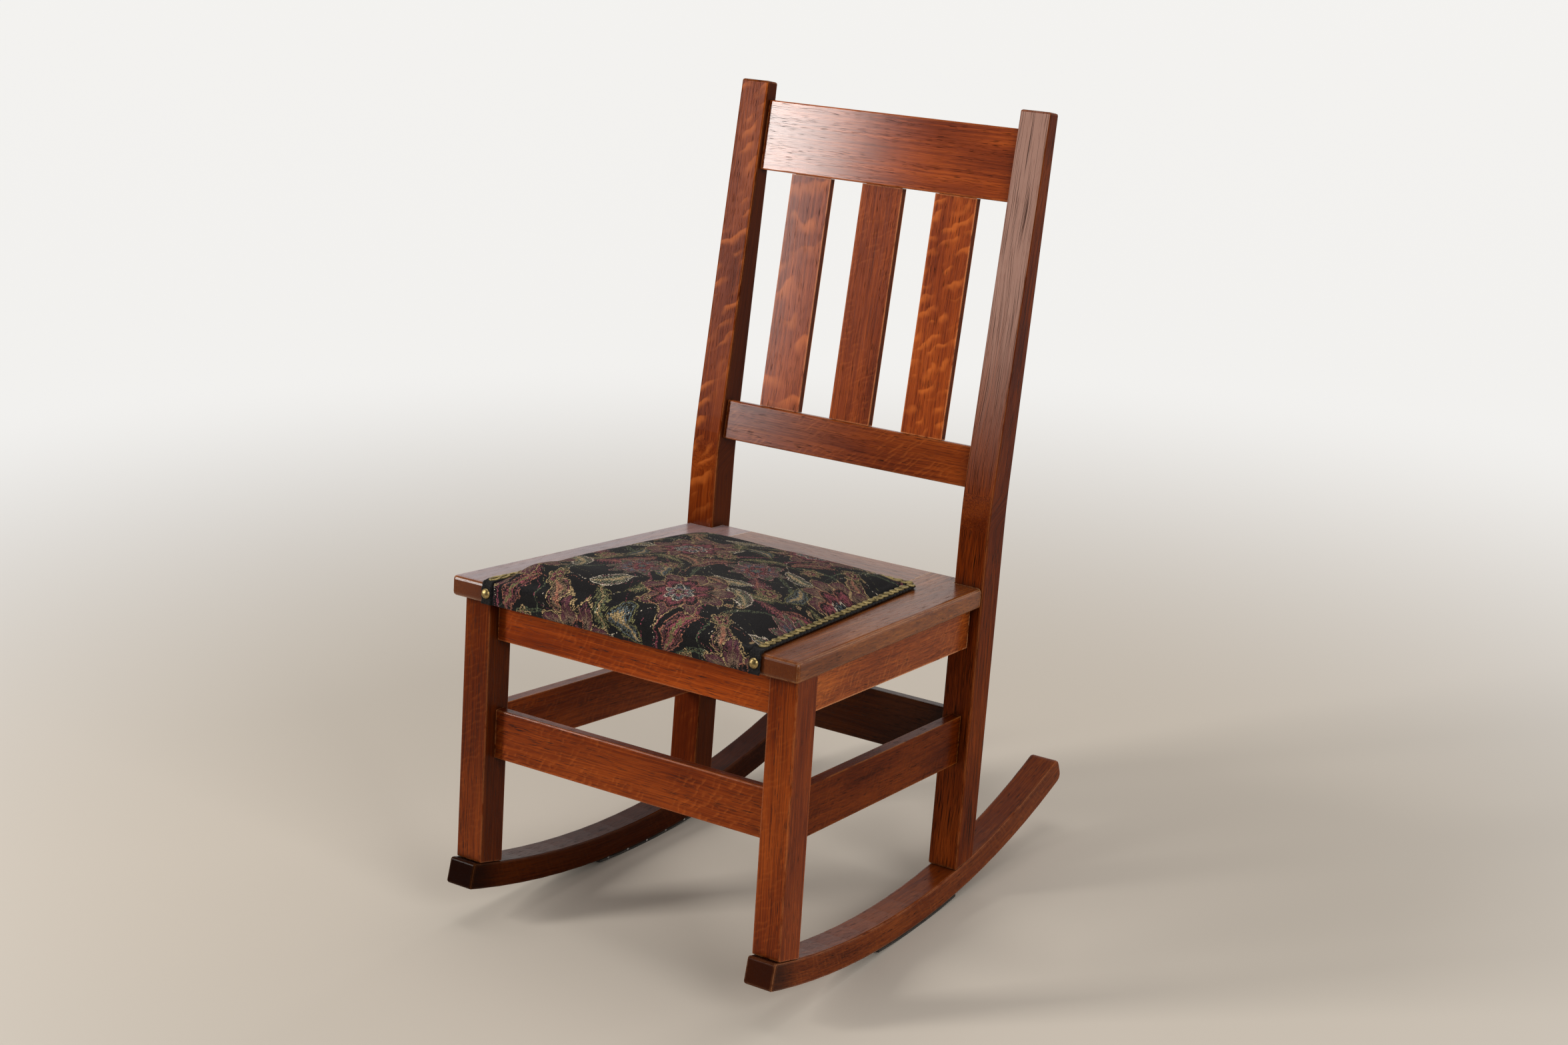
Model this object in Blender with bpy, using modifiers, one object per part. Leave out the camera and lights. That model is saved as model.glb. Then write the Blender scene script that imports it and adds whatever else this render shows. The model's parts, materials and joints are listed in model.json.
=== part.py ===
"""Armless sewing rocker: an oak frame on bent rockers with an upholstered seat. Metres, +Z up.

The chair faces -Y and is mirrored about X = 0, with left and right as seen from the front. Its frame is drawn
square, with plumb front legs and a level seat, and is then leaned back as one to the way it rests on its rockers.
"""
from math import cos, pi, radians, sin, sqrt, tan

import bmesh
import bpy
from mathutils import Matrix, Vector

# Fits
CLEAR = 0.0003
TENON_LENGTH = 0.013
TENON_SHOULDER = 0.002
TENON_EDGE = 0.004
EASE = 0.0014

# Rockers, drawn about the centre of their underside's circle, with angles from the low point
LEAN = radians(4.9)
ROCKER_RADIUS = 0.9425
ROCKER_DEPTH = 0.0273
ROCKER_WIDTH = 0.0329
TOE_ANGLE = radians(17.1)
TAIL_ANGLE = radians(19.45)
TOE_ROUND = 0.003
TAIL_ROUND = 0.008
FACET = radians(1.9)
STRIP_FACETS = 5
STRIP_THICK = 0.0025
STRIP_WIDTH = 0.031

# Front legs
LEG_WIDTH = 0.032
LEG_DEPTH = 0.0335
LEG_OUT = 0.2005
LEG_FRONT = -0.2664

# Back posts: how far behind the legs' front faces they start, their lean, the bend and the rake above it
POST_WIDTH = 0.0346
POST_DEPTH = 0.0338
POST_TOP_DEPTH = 0.018
POST_OUT = 0.1886
FRAME_DEPTH = 0.3380
POST_LEAN = radians(1.5)
POST_RAKE = radians(7.8)
POST_LENGTH = 0.3963
BEND_HEIGHT = 0.4273
BEND_RADIUS = 0.6
POST_EASE = 0.0022

# Back rails and slats, set back from the raked faces of the posts
BACK_SETBACK = 0.0068
BACK_THICK = 0.012
CREST_HEIGHT = 0.0741
CREST_DROP = 0.0193
LOW_RAIL_HEIGHT = 0.042
LOW_RAIL_RISE = 0.0117
SLAT_COUNT = 3
SLAT_WIDTH = 0.0495
SLAT_THICK = 0.0075
SLAT_SETBACK = 0.003
SLAT_TENON = 0.010
SLAT_SHOULDER = 0.0012

# Seat boards, reaching out past the legs' front faces and back past the posts'
SEAT_TOP = 0.3396
SEAT_THICK = 0.0209
SEAT_OVERHANG = 0.0126
SEAT_BEHIND = 0.0237
SEAT_FRONT_HALF = 0.2085
SEAT_REAR_HALF = 0.1855
BOARD_LAP = 0.020
FRONT_BOARD = 0.070
BOARD_ROUND = 0.004

# Aprons and stretchers
APRON_HEIGHT = 0.043
APRON_THICK = 0.014
FRONT_APRON_SETBACK = 0.0129
SIDE_APRON_INSET = 0.0120
REAR_APRON_SETBACK = 0.010
STRETCHER_TOP = 0.2028
STRETCHER_HEIGHT = 0.0508
REAR_STRETCHER_HEIGHT = 0.058
STRETCHER_THICK = 0.012
FRONT_STRETCHER_SETBACK = 0.0145
SIDE_STRETCHER_INSET = 0.0112
REAR_STRETCHER_SETBACK = 0.012

# Fixings
BLOCK_REACH = 0.045
BLOCK_HEIGHT = 0.024
SCREW_RADIUS = 0.0022
SCREW_HEAD_RADIUS = 0.0042
SCREW_HEAD = 0.0024
SCREW_BITE = 0.013
SCREW_INSET = 0.013
SCREW_SETBACK = 0.016
DOWEL_RADIUS = 0.005
DOWEL_IN_ROCKER = 0.015
DOWEL_IN_LEG = 0.022

# Upholstery, between the seams on three sides and the lower edge of the front
PAD_FRONT_HALF = 0.1678
PAD_REAR_HALF = 0.1400
PAD_REAR_MARGIN = 0.0655
CROWN = 0.0341
CROWN_RUN = 0.150
NOSE_RUN = 0.110
NOSE_BULGE = 0.0025
COVER_THICK = 0.0012
GIMP_WIDTH = 0.013
GIMP_THICK = 0.0022
GIMP_LAP = 0.004
PADDING_INSET = 0.006
PADDING_SLACK = 0.002
STRAP_WIDTH = 0.045
STRAP_THICK = 0.0012
STRAPS_LONG = 3
STRAPS_ACROSS = 3
NAIL_RADIUS = 0.0053
NAIL_HEIGHT = 0.0033
NAIL_SHANK_RADIUS = 0.0009
NAIL_SHANK = 0.011
NAIL_DROP = 0.0095

# Colours, roughness and metallic values
FINISHES = {
    "oak": ((0.190, 0.045, 0.015), 0.32, 0.0),
    "inner wood": ((0.420, 0.250, 0.120), 0.6, 0.0),
    "tapestry": ((0.030, 0.028, 0.026), 0.85, 0.0),
    "braid": ((0.012, 0.011, 0.010), 0.85, 0.0),
    "cotton": ((0.650, 0.600, 0.500), 0.9, 0.0),
    "jute": ((0.330, 0.230, 0.120), 0.9, 0.0),
    "brass": ((0.720, 0.500, 0.180), 0.3, 1.0),
    "steel": ((0.350, 0.340, 0.330), 0.4, 1.0),
    "strip": ((0.012, 0.012, 0.012), 0.7, 0.0),
}

# Sizes that follow from the ones above
SEAT_BOTTOM = SEAT_TOP - SEAT_THICK
SEAT_FRONT = LEG_FRONT - SEAT_OVERHANG
APRON_TOP = SEAT_BOTTOM - CLEAR
APRON_BOTTOM = APRON_TOP - APRON_HEIGHT
LEG_IN = LEG_OUT - LEG_WIDTH
LEG_BACK = LEG_FRONT + LEG_DEPTH
POST_IN = POST_OUT - POST_WIDTH
POST_FOOT = LEG_FRONT + FRAME_DEPTH
SEAT_REAR = POST_FOOT + tan(POST_LEAN) * SEAT_BOTTOM + SEAT_BEHIND
PAD_REAR = SEAT_REAR - PAD_REAR_MARGIN
STRIP_RADIUS = ROCKER_RADIUS + CLEAR + STRIP_THICK
STAND_HEIGHT = STRIP_RADIUS * cos(FACET / 2) - ROCKER_RADIUS
SIDES = (("left", -1), ("right", 1))


def clear_scene():
    for old in list(bpy.data.objects):
        bpy.data.objects.remove(old)


def new_collection(name):
    made = bpy.data.collections.new(name)
    bpy.context.scene.collection.children.link(made)
    return made


clear_scene()
PARTS = new_collection("sewing rocker")
CUTTERS = new_collection("cutters")


def new_empty(name, parent=None, location=(0, 0, 0), turn=0.0):
    """An empty to hang pieces on, turned about X."""
    made = bpy.data.objects.new(name, None)
    PARTS.objects.link(made)
    made.parent = parent
    made.location = location
    made.rotation_euler.x = turn
    return made


def material(name, finish):
    colour, roughness, metallic = FINISHES[finish]
    made = bpy.data.materials.new(f"{name} {finish}")
    made.use_nodes = True
    shader = made.node_tree.nodes["Principled BSDF"]
    shader.inputs["Base Color"].default_value = (*colour, 1.0)
    shader.inputs["Roughness"].default_value = roughness
    shader.inputs["Metallic"].default_value = metallic
    return made


def finish_mesh(bm, name):
    """A closed mesh with its faces pointing out, from a bmesh that is then freed."""
    bmesh.ops.recalc_face_normals(bm, faces=bm.faces)
    mesh = bpy.data.meshes.new(name)
    bm.to_mesh(mesh)
    bm.free()
    return mesh


def mirrored(mesh, side):
    """The same mesh on the right, or its mirror image on the left."""
    if side < 0:
        mesh.transform(Matrix.Scale(-1, 4, (1, 0, 0)))
        mesh.flip_normals()
    return mesh


def place(name, mesh, finish, parent, ease=0.0, cutters=(), smooth=False):
    """Adds one named piece, with eased edges first and cuts after."""
    piece = bpy.data.objects.new(name, mesh)
    PARTS.objects.link(piece)
    piece.parent = parent
    mesh.materials.append(material(name, finish))
    if smooth:
        mesh.shade_smooth()
        mesh.set_sharp_from_angle(angle=radians(35))
    if ease:
        bevel = piece.modifiers.new("eased edges", "BEVEL")
        bevel.width = ease
        bevel.segments = 2
        bevel.limit_method = "ANGLE"
        bevel.angle_limit = radians(40)
    for cutter in cutters:
        cut = piece.modifiers.new("cut " + cutter.name, "BOOLEAN")
        cut.operation = "DIFFERENCE"
        cut.object = cutter
    return piece


def place_cutter(name, mesh, parent):
    cutter = bpy.data.objects.new(name, mesh)
    CUTTERS.objects.link(cutter)
    cutter.parent = parent
    cutter.hide_render = True
    cutter.display_type = "WIRE"
    return cutter


def add_box(bm, low, high):
    low, high = Vector(low), Vector(high)
    shape = Matrix.Translation((low + high) / 2) @ Matrix.Diagonal((*(high - low), 1))
    bmesh.ops.create_cube(bm, size=1, matrix=shape)


def box_mesh(name, *boxes):
    bm = bmesh.new()
    for low, high in boxes:
        add_box(bm, low, high)
    return finish_mesh(bm, name)


def widened(box, by=CLEAR):
    low, high = box
    grow = Vector((by, by, by))
    return low - grow, high + grow


def cylinder_mesh(name, radius, low, high, centre, sides=16):
    bm = bmesh.new()
    middle = Matrix.Translation((*centre, (low + high) / 2))
    bmesh.ops.create_cone(bm, cap_ends=True, segments=sides, radius1=radius, radius2=radius,
                          depth=high - low, matrix=middle)
    return finish_mesh(bm, name)


def filleted(corners, steps=4):
    """An outline from (point, radius) corners, each round corner as an arc of a few points."""
    outline = []
    for index, (corner, radius) in enumerate(corners):
        corner = Vector(corner)
        if not radius:
            outline.append(corner)
            continue
        before = (Vector(corners[index - 1][0]) - corner).normalized()
        after = (Vector(corners[(index + 1) % len(corners)][0]) - corner).normalized()
        half = before.angle(after) / 2
        centre = corner + (before + after).normalized() * (radius / sin(half))
        start = corner + before * (radius / tan(half)) - centre
        sweep = start.angle_signed(corner + after * (radius / tan(half)) - centre)
        for step in range(steps + 1):
            outline.append(centre + Matrix.Rotation(-sweep * step / steps, 2) @ start)
    return outline


def prism_mesh(name, outline, thick, axes):
    """An outline drawn as a filled 2D curve, thickened about its plane and welded into one solid."""
    curve = bpy.data.curves.new(name, "CURVE")
    curve.dimensions = "2D"
    curve.fill_mode = "BOTH"
    curve.extrude = thick / 2
    spline = curve.splines.new("POLY")
    spline.points.add(len(outline) - 1)
    for point, (across, up) in zip(spline.points, outline):
        point.co = (across, up, 0, 1)
    spline.use_cyclic_u = True
    drawn = bpy.data.objects.new(name, curve)
    CUTTERS.objects.link(drawn)
    evaluated = drawn.evaluated_get(bpy.context.evaluated_depsgraph_get())
    mesh = bpy.data.meshes.new_from_object(evaluated)
    bpy.data.objects.remove(drawn)
    bm = bmesh.new()
    bm.from_mesh(mesh)
    bmesh.ops.remove_doubles(bm, verts=bm.verts, dist=1e-6)
    bmesh.ops.dissolve_limit(bm, angle_limit=radians(0.3), verts=bm.verts, edges=bm.edges)
    bmesh.ops.transform(bm, matrix=axes, verts=bm.verts)
    bpy.data.meshes.remove(mesh)
    return finish_mesh(bm, name)


def turned(name, profile, finish, location, turn=0.0, steps=16):
    """A turned piece: a profile from its top down its outer side, swept round its axis."""
    mesh = bpy.data.meshes.new(name)
    bm = bmesh.new()
    verts = [bm.verts.new((radius, 0, z)) for radius, z in profile]
    for first, second in zip(verts, verts[1:]):
        bm.edges.new((first, second))
    bm.to_mesh(mesh)
    bm.free()
    piece = place(name, mesh, finish, frame)
    sweep = piece.modifiers.new("turned", "SCREW")
    sweep.axis = "Z"
    sweep.steps = steps
    sweep.render_steps = steps
    sweep.use_merge_vertices = True
    sweep.merge_threshold = 0.00001
    piece.location = location
    piece.rotation_euler.x = turn
    return piece


# Outline axes: (across, up, thickness) as (y, z, x) for side views and as (x, y, z) for plans
SIDE_VIEW = Matrix(((0, 0, 1, 0), (1, 0, 0, 0), (0, 1, 0, 0), (0, 0, 0, 1)))
PLAN_VIEW = Matrix.Identity(4)


def rail_mesh(name, near, far, tenon=None, shoulder=TENON_SHOULDER, length=TENON_LENGTH, ease=EASE):
    """A bar between two four-cornered ends, with a stub tenon on each, and the boxes that its tenons fill.

    An end's corners are low and high on its first face, then low and high on its second. The tenon is given
    by its lower and upper heights, as distances up from the lower edge.
    """
    bm = bmesh.new()
    bmesh.ops.create_cube(bm, size=2)
    long_edges = [e for e in bm.edges if abs(e.verts[0].co.x - e.verts[1].co.x) > 1]
    ends = [f for f in bm.faces if abs(f.normal.x) > 0.5]
    near, far = [Vector(c) for c in near], [Vector(c) for c in far]
    span = (far[0] - near[0]).length
    thick = (near[2] - near[0]).length
    tall = (near[1] - near[0]).length
    tips = []
    if tenon:
        bmesh.ops.inset_individual(bm, faces=ends, thickness=0.1)
        low, high = (2 * height / tall - 1 for height in tenon)
        reach = 1 - 2 * shoulder / thick
        for end in ends:
            for vert in end.verts:
                vert.co.y = reach if vert.co.y > 0 else -reach
                vert.co.z = high if vert.co.z > 0 else low
            roots = list(end.verts)
            tip = bmesh.ops.extrude_discrete_faces(bm, faces=[end])["faces"][0]
            for vert in tip.verts:
                vert.co.x *= 1 + 2 * length / span
            tips.append(roots + list(tip.verts))
    for vert in bm.verts:
        along, across, up = ((c + 1) / 2 for c in vert.co)
        first = near[0].lerp(near[1], up), far[0].lerp(far[1], up)
        second = near[2].lerp(near[3], up), far[2].lerp(far[3], up)
        vert.co = first[0].lerp(first[1], along).lerp(second[0].lerp(second[1], along), across)
    boxes = []
    for tip in tips:
        places = [vert.co for vert in tip]
        low = Vector(min(p[axis] for p in places) for axis in range(3))
        high = Vector(max(p[axis] for p in places) for axis in range(3))
        boxes.append((low, high))
    if ease:
        bmesh.ops.bevel(bm, geom=long_edges, offset=ease, segments=2, profile=0.5, affect="EDGES")
    return finish_mesh(bm, name), boxes


def end_corners(first, second, low, high):
    """A rail end's four corners from its two faces' plan points and its heights."""
    return [(*first, low), (*first, high), (*second, low), (*second, high)]


def upper_tenon(tall):
    return tall / 2 + TENON_EDGE / 2, tall - TENON_EDGE


def lower_tenon(tall):
    return TENON_EDGE, tall / 2 - TENON_EDGE / 2


# Places on the rockers and posts, in the square frame
ROCKER_CENTRE = Vector((-ROCKER_RADIUS * sin(LEAN), ROCKER_RADIUS * cos(LEAN)))


def rocker_top(y, gap=0.0):
    """Height of the rockers' upper side at a depth in the square frame."""
    radius = ROCKER_RADIUS - ROCKER_DEPTH - gap
    return ROCKER_CENTRE.y - sqrt(radius ** 2 - (y - ROCKER_CENTRE.x) ** 2)


def post_face(z, depth=0.0):
    """Depth of the posts' lower front face at a height, or of a plane behind it."""
    return POST_FOOT + tan(POST_LEAN) * z + depth / cos(POST_LEAN)


def post_foot(depth):
    """The point where a line down the post, some way behind its front face, meets the rocker."""
    z = 0.0
    for _ in range(8):
        z = rocker_top(post_face(z, depth), CLEAR)
    return Vector((post_face(z, depth), z))


def to_stand(point):
    """A side-view point of the square frame, leaned back, as seen from the stand."""
    y, z = point
    return Vector((y * cos(LEAN) + z * sin(LEAN), z * cos(LEAN) - y * sin(LEAN)))


def between(y, start, end):
    """Straight-line value at a depth, from two (depth, value) points."""
    return start[1] + (end[1] - start[1]) * (y - start[0]) / (end[0] - start[0])


# The stand carries the rockers; the leaning frame carries the rest, and the raked back hangs on that
stand = new_empty("stand", location=(0, 0, STAND_HEIGHT))
frame = new_empty("leaning frame", stand, turn=-LEAN)
BEND = Vector((post_face(BEND_HEIGHT), BEND_HEIGHT))
back = new_empty("raked back", frame, (0, *BEND), -POST_RAKE)


def make_dowels():
    """Dowels up from the rockers into the legs and posts, with the bores that they sit in."""
    leg_middle = (LEG_OUT - LEG_WIDTH / 2, LEG_FRONT + LEG_DEPTH / 2)
    post_middle = (POST_OUT - POST_WIDTH / 2, post_foot(POST_DEPTH / 2).x)
    bores = {}
    for kind, (x, y) in (("leg", leg_middle), ("post", post_middle)):
        low = rocker_top(y) - DOWEL_IN_ROCKER
        high = rocker_top(y) + DOWEL_IN_LEG
        for side_name, side in SIDES:
            name = f"{kind}_dowel_{side_name}"
            mesh = cylinder_mesh(name, DOWEL_RADIUS, low, high, (side * x, y))
            place(name, mesh, "inner wood", frame, smooth=True)
            bore = cylinder_mesh("bore", DOWEL_RADIUS + CLEAR, low - CLEAR, high + CLEAR, (side * x, y))
            bores[kind, side_name] = place_cutter("bore " + name, bore, frame)
    return bores


BORES = make_dowels()


def rocker_arc(radius, start, end):
    """Side-view points at facet ends along an arc, about the low point."""
    first = int(round(start / FACET - 0.5)) + 1
    last = int(round(end / FACET + 0.5)) - 1
    angles = [(k + 0.5) * FACET for k in range(first, last)]
    return [(radius * sin(a), ROCKER_RADIUS - radius * cos(a)) for a in angles]


def rocker_lane(y):
    """Middle of a rocker across the chair, in line with its leg and its post."""
    leg = to_stand((LEG_FRONT + LEG_DEPTH / 2, rocker_top(LEG_FRONT)))
    post = to_stand(post_foot(POST_DEPTH / 2))
    return between(y, (leg.x, LEG_OUT - LEG_WIDTH / 2), (post.x, POST_OUT - POST_WIDTH / 2))


def toe_in(mesh):
    """Shears a rocker piece drawn on the middle plane over to its own slanting lane."""
    for vert in mesh.vertices:
        vert.co.x += rocker_lane(vert.co.y)
    return mesh


def make_rockers():
    upper = ROCKER_RADIUS - ROCKER_DEPTH

    def end(radius, angle):
        return radius * sin(angle), ROCKER_RADIUS - radius * cos(angle)

    under = rocker_arc(ROCKER_RADIUS, -TOE_ANGLE, TAIL_ANGLE)
    over = rocker_arc(upper, -TOE_ANGLE, TAIL_ANGLE)
    corners = [(end(ROCKER_RADIUS, -TOE_ANGLE), TOE_ROUND)]
    corners += [(point, 0) for point in under]
    corners += [(end(ROCKER_RADIUS, TAIL_ANGLE), TAIL_ROUND), (end(upper, TAIL_ANGLE), TAIL_ROUND)]
    corners += [(point, 0) for point in reversed(over)]
    corners += [(end(upper, -TOE_ANGLE), TOE_ROUND)]
    half = STRIP_FACETS / 2
    turns = [(k - half) * FACET for k in range(STRIP_FACETS + 1)]
    bearing = [end(STRIP_RADIUS, a) for a in turns] + [end(ROCKER_RADIUS + CLEAR, a) for a in reversed(turns)]
    for side_name, side in SIDES:
        mesh = toe_in(prism_mesh("rocker", filleted(corners), ROCKER_WIDTH, SIDE_VIEW))
        bores = [BORES["leg", side_name], BORES["post", side_name]]
        place(f"rocker_{side_name}", mirrored(mesh, side), "oak", stand, POST_EASE, bores)
        strip = toe_in(prism_mesh("strip", [Vector(p) for p in bearing], STRIP_WIDTH, SIDE_VIEW))
        place(f"rocker_strip_{side_name}", mirrored(strip, side), "strip", stand)


make_rockers()


def front_rail(name, low, tall, thick, setback):
    """A rail across the front, between the two front legs."""
    y = LEG_FRONT + setback
    x = LEG_IN - CLEAR
    near = end_corners((-x, y), (-x, y + thick), low, low + tall)
    far = end_corners((x, y), (x, y + thick), low, low + tall)
    mesh, boxes = rail_mesh(name, near, far, upper_tenon(tall))
    place(name, mesh, "oak", frame)
    return dict(zip(("left", "right"), boxes))


def rear_rail(name, low, tall, thick, setback):
    """A rail across the back, between the two posts."""
    y = post_face(low + tall, setback)
    x = POST_IN - CLEAR
    near = end_corners((-x, y), (-x, y + thick), low, low + tall)
    far = end_corners((x, y), (x, y + thick), low, low + tall)
    mesh, boxes = rail_mesh(name, near, far, upper_tenon(tall))
    place(name, mesh, "oak", frame)
    return dict(zip(("left", "right"), boxes))


def side_rail_x(inset):
    """Outer face of a side rail as a function of depth, in from the legs' and posts' outer faces."""
    return lambda y: between(y, (LEG_BACK, LEG_OUT - inset), (post_face(0), POST_OUT - inset))


def side_rail(name, low, tall, thick, inset):
    """A rail from each front leg back to its post, with its rear end cut to the post's lean."""
    outer = side_rail_x(inset)
    start = LEG_BACK + CLEAR
    ends = [post_face(z) - CLEAR for z in (low, low + tall)]
    near = end_corners((outer(start) - thick, start), (outer(start), start), low, low + tall)
    far = []
    for face in (-thick, 0):
        for y, z in zip(ends, (low, low + tall)):
            far.append((outer(y) + face, y, z))
    made = {}
    for side_name, side in SIDES:
        mesh, boxes = rail_mesh(name, near, far, lower_tenon(tall))
        place(f"{name}_{side_name}", mirrored(mesh, side), "oak", frame)
        made[side_name] = boxes
    return made


STRETCHER_LOW = STRETCHER_TOP - STRETCHER_HEIGHT
FRONT_TENONS = [
    front_rail("front_apron", APRON_BOTTOM, APRON_HEIGHT, APRON_THICK, FRONT_APRON_SETBACK),
    front_rail("front_stretcher", STRETCHER_LOW, STRETCHER_HEIGHT, STRETCHER_THICK, FRONT_STRETCHER_SETBACK),
]
REAR_TENONS = [
    rear_rail("rear_apron", APRON_BOTTOM, APRON_HEIGHT, APRON_THICK, REAR_APRON_SETBACK),
    rear_rail("rear_stretcher", STRETCHER_TOP - REAR_STRETCHER_HEIGHT, REAR_STRETCHER_HEIGHT,
              STRETCHER_THICK, REAR_STRETCHER_SETBACK),
]
SIDE_TENONS = [
    side_rail("side_apron", APRON_BOTTOM, APRON_HEIGHT, APRON_THICK, SIDE_APRON_INSET),
    side_rail("side_stretcher", STRETCHER_LOW, STRETCHER_HEIGHT, STRETCHER_THICK, SIDE_STRETCHER_INSET),
]


def on_side(box, side):
    """A box that was worked out on the right, moved to its own side."""
    low, high = box
    if side > 0:
        return low, high
    return Vector((-high.x, low.y, low.z)), Vector((-low.x, high.y, high.z))


def make_front_legs():
    for side_name, side in SIDES:
        mortises = [widened(rail[side_name]) for rail in FRONT_TENONS]
        mortises += [widened(on_side(rail[side_name][0], side)) for rail in SIDE_TENONS]
        cutter = place_cutter(f"mortises leg {side_name}", box_mesh("mortises", *mortises), frame)
        near, far = [], []
        for x in (LEG_IN, LEG_OUT):
            for y in (LEG_FRONT, LEG_BACK):
                near.append((x, y, rocker_top(y, CLEAR)))
                far.append((x, y, APRON_TOP))
        mesh, _ = rail_mesh("leg", near, far, ease=0)
        place(f"front_leg_{side_name}", mirrored(mesh, side), "oak", frame, EASE,
              [cutter, BORES["leg", side_name]])


make_front_legs()


def make_back():
    """Crest rail, lower rail and slats, drawn upright on the raked face of the posts."""
    face, rear = BACK_SETBACK, BACK_SETBACK + BACK_THICK
    shoulder = POST_IN - CLEAR
    crest_top = POST_LENGTH - CREST_DROP
    crest_low = crest_top - CREST_HEIGHT
    low_top = LOW_RAIL_RISE + LOW_RAIL_HEIGHT
    gap = (2 * POST_IN - SLAT_COUNT * SLAT_WIDTH) / (SLAT_COUNT + 1)
    slat_face = face + SLAT_SETBACK
    slat_rear = slat_face + SLAT_THICK
    feet, heads = [], []
    names = [f"slat_{index + 1}" for index in range(SLAT_COUNT)]
    for index, name in enumerate(names):
        left = -POST_IN + gap + index * (gap + SLAT_WIDTH)
        right = left + SLAT_WIDTH
        ends = []
        for z in (low_top + CLEAR, crest_low - CLEAR):
            ends.append([(x, y, z) for y in (slat_face, slat_rear) for x in (left, right)])
        tenon = (TENON_EDGE, SLAT_WIDTH - TENON_EDGE)
        mesh, (foot, head) = rail_mesh(name, *ends, tenon, SLAT_SHOULDER, SLAT_TENON, EASE / 2)
        place(name, mesh, "oak", back)
        feet.append(widened(foot))
        heads.append(widened(head))
    tenons = []
    for name, low, tall, slots in (("crest_rail", crest_low, CREST_HEIGHT, heads),
                                   ("lower_back_rail", LOW_RAIL_RISE, LOW_RAIL_HEIGHT, feet)):
        near = end_corners((-shoulder, face), (-shoulder, rear), low, low + tall)
        far = end_corners((shoulder, face), (shoulder, rear), low, low + tall)
        mesh, boxes = rail_mesh(name, near, far, (TENON_EDGE, tall - TENON_EDGE))
        cutter = place_cutter("slots " + name, box_mesh("slots", *slots), back)
        place(name, mesh, "oak", back, cutters=[cutter])
        tenons.append(dict(zip(("left", "right"), boxes)))
    return tenons


BACK_TENONS = make_back()


def raked(depth, height):
    """A side-view point of the square frame from a depth and height on the raked back."""
    turn = Matrix.Rotation(-POST_RAKE, 2)
    return BEND + turn @ Vector((depth, height))


def crossing(a, b, c, d):
    """Where the line through a and b crosses the line through c and d."""
    along, other = b - a, d - c
    return a + along * ((c - a).cross(other) / along.cross(other))


def make_posts():
    rear_low = [Vector((post_face(z, POST_DEPTH), z)) for z in (0, BEND_HEIGHT)]
    rear_high = [raked(POST_DEPTH, 0), raked(POST_TOP_DEPTH, POST_LENGTH)]
    rear_bend = crossing(*rear_low, *rear_high)
    corners = [(post_foot(0), 0), (post_foot(POST_DEPTH), 0), (rear_bend, BEND_RADIUS), (rear_high[1], 0),
               (raked(0, POST_LENGTH), 0), (BEND, BEND_RADIUS)]
    for side_name, side in SIDES:
        mesh = prism_mesh("post", filleted(corners), POST_WIDTH, SIDE_VIEW)
        mesh.transform(Matrix.Translation((POST_OUT - POST_WIDTH / 2, 0, 0)))
        mortises = [widened(rail[side_name]) for rail in REAR_TENONS]
        mortises += [widened(on_side(rail[side_name][1], side)) for rail in SIDE_TENONS]
        below = place_cutter(f"mortises post {side_name}", box_mesh("mortises", *mortises), frame)
        mortises = [widened(rail[side_name]) for rail in BACK_TENONS]
        above = place_cutter(f"mortises back {side_name}", box_mesh("mortises", *mortises), back)
        place(f"back_post_{side_name}", mirrored(mesh, side), "oak", frame, POST_EASE,
              [below, above, BORES["post", side_name]])


make_posts()


def seat_edge(y):
    """Half width of the seat at a depth."""
    return between(y, (SEAT_FRONT, SEAT_FRONT_HALF), (SEAT_REAR, SEAT_REAR_HALF))


def pad_edge(y):
    """Half width of the upholstery at a depth, to the gimp's outer edge."""
    return between(y, (SEAT_FRONT, PAD_FRONT_HALF), (PAD_REAR, PAD_REAR_HALF))


def board_edge(y):
    """Inner edges of the side boards, which reach in under the upholstery."""
    return pad_edge(y) - BOARD_LAP


def board_mesh(name, corners, rounded):
    """A seat board from its plan corners, with some of its sides rounded over top and bottom."""
    outline = [Vector(corner) for corner in corners]
    axes = Matrix.Translation((0, 0, SEAT_TOP - SEAT_THICK / 2)) @ PLAN_VIEW
    mesh = prism_mesh(name, outline, SEAT_THICK, axes)
    bm = bmesh.new()
    bm.from_mesh(mesh)
    bpy.data.meshes.remove(mesh)

    def corner_of(vert):
        return min(range(len(outline)), key=lambda k: (outline[k] - vert.co.xy).length)

    count = len(outline)
    chosen = []
    for edge in bm.edges:
        first, second = sorted(corner_of(vert) for vert in edge.verts)
        if first == second:
            wanted = first in rounded and (first - 1) % count in rounded
        else:
            wanted = (second if second - first > 1 else first) in rounded
        if wanted:
            chosen.append(edge)
    bmesh.ops.bevel(bm, geom=chosen, offset=BOARD_ROUND, segments=3, profile=0.5, affect="EDGES")
    return finish_mesh(bm, name)


NAIL_X = pad_edge(SEAT_FRONT) - GIMP_WIDTH / 2
NAIL_Z = SEAT_TOP - NAIL_DROP
COVER_GAP = CLEAR + COVER_THICK
GIMP_FACE = SEAT_FRONT - COVER_GAP - CLEAR - GIMP_THICK
FLANGE = GIMP_WIDTH - GIMP_LAP + COVER_GAP


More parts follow.
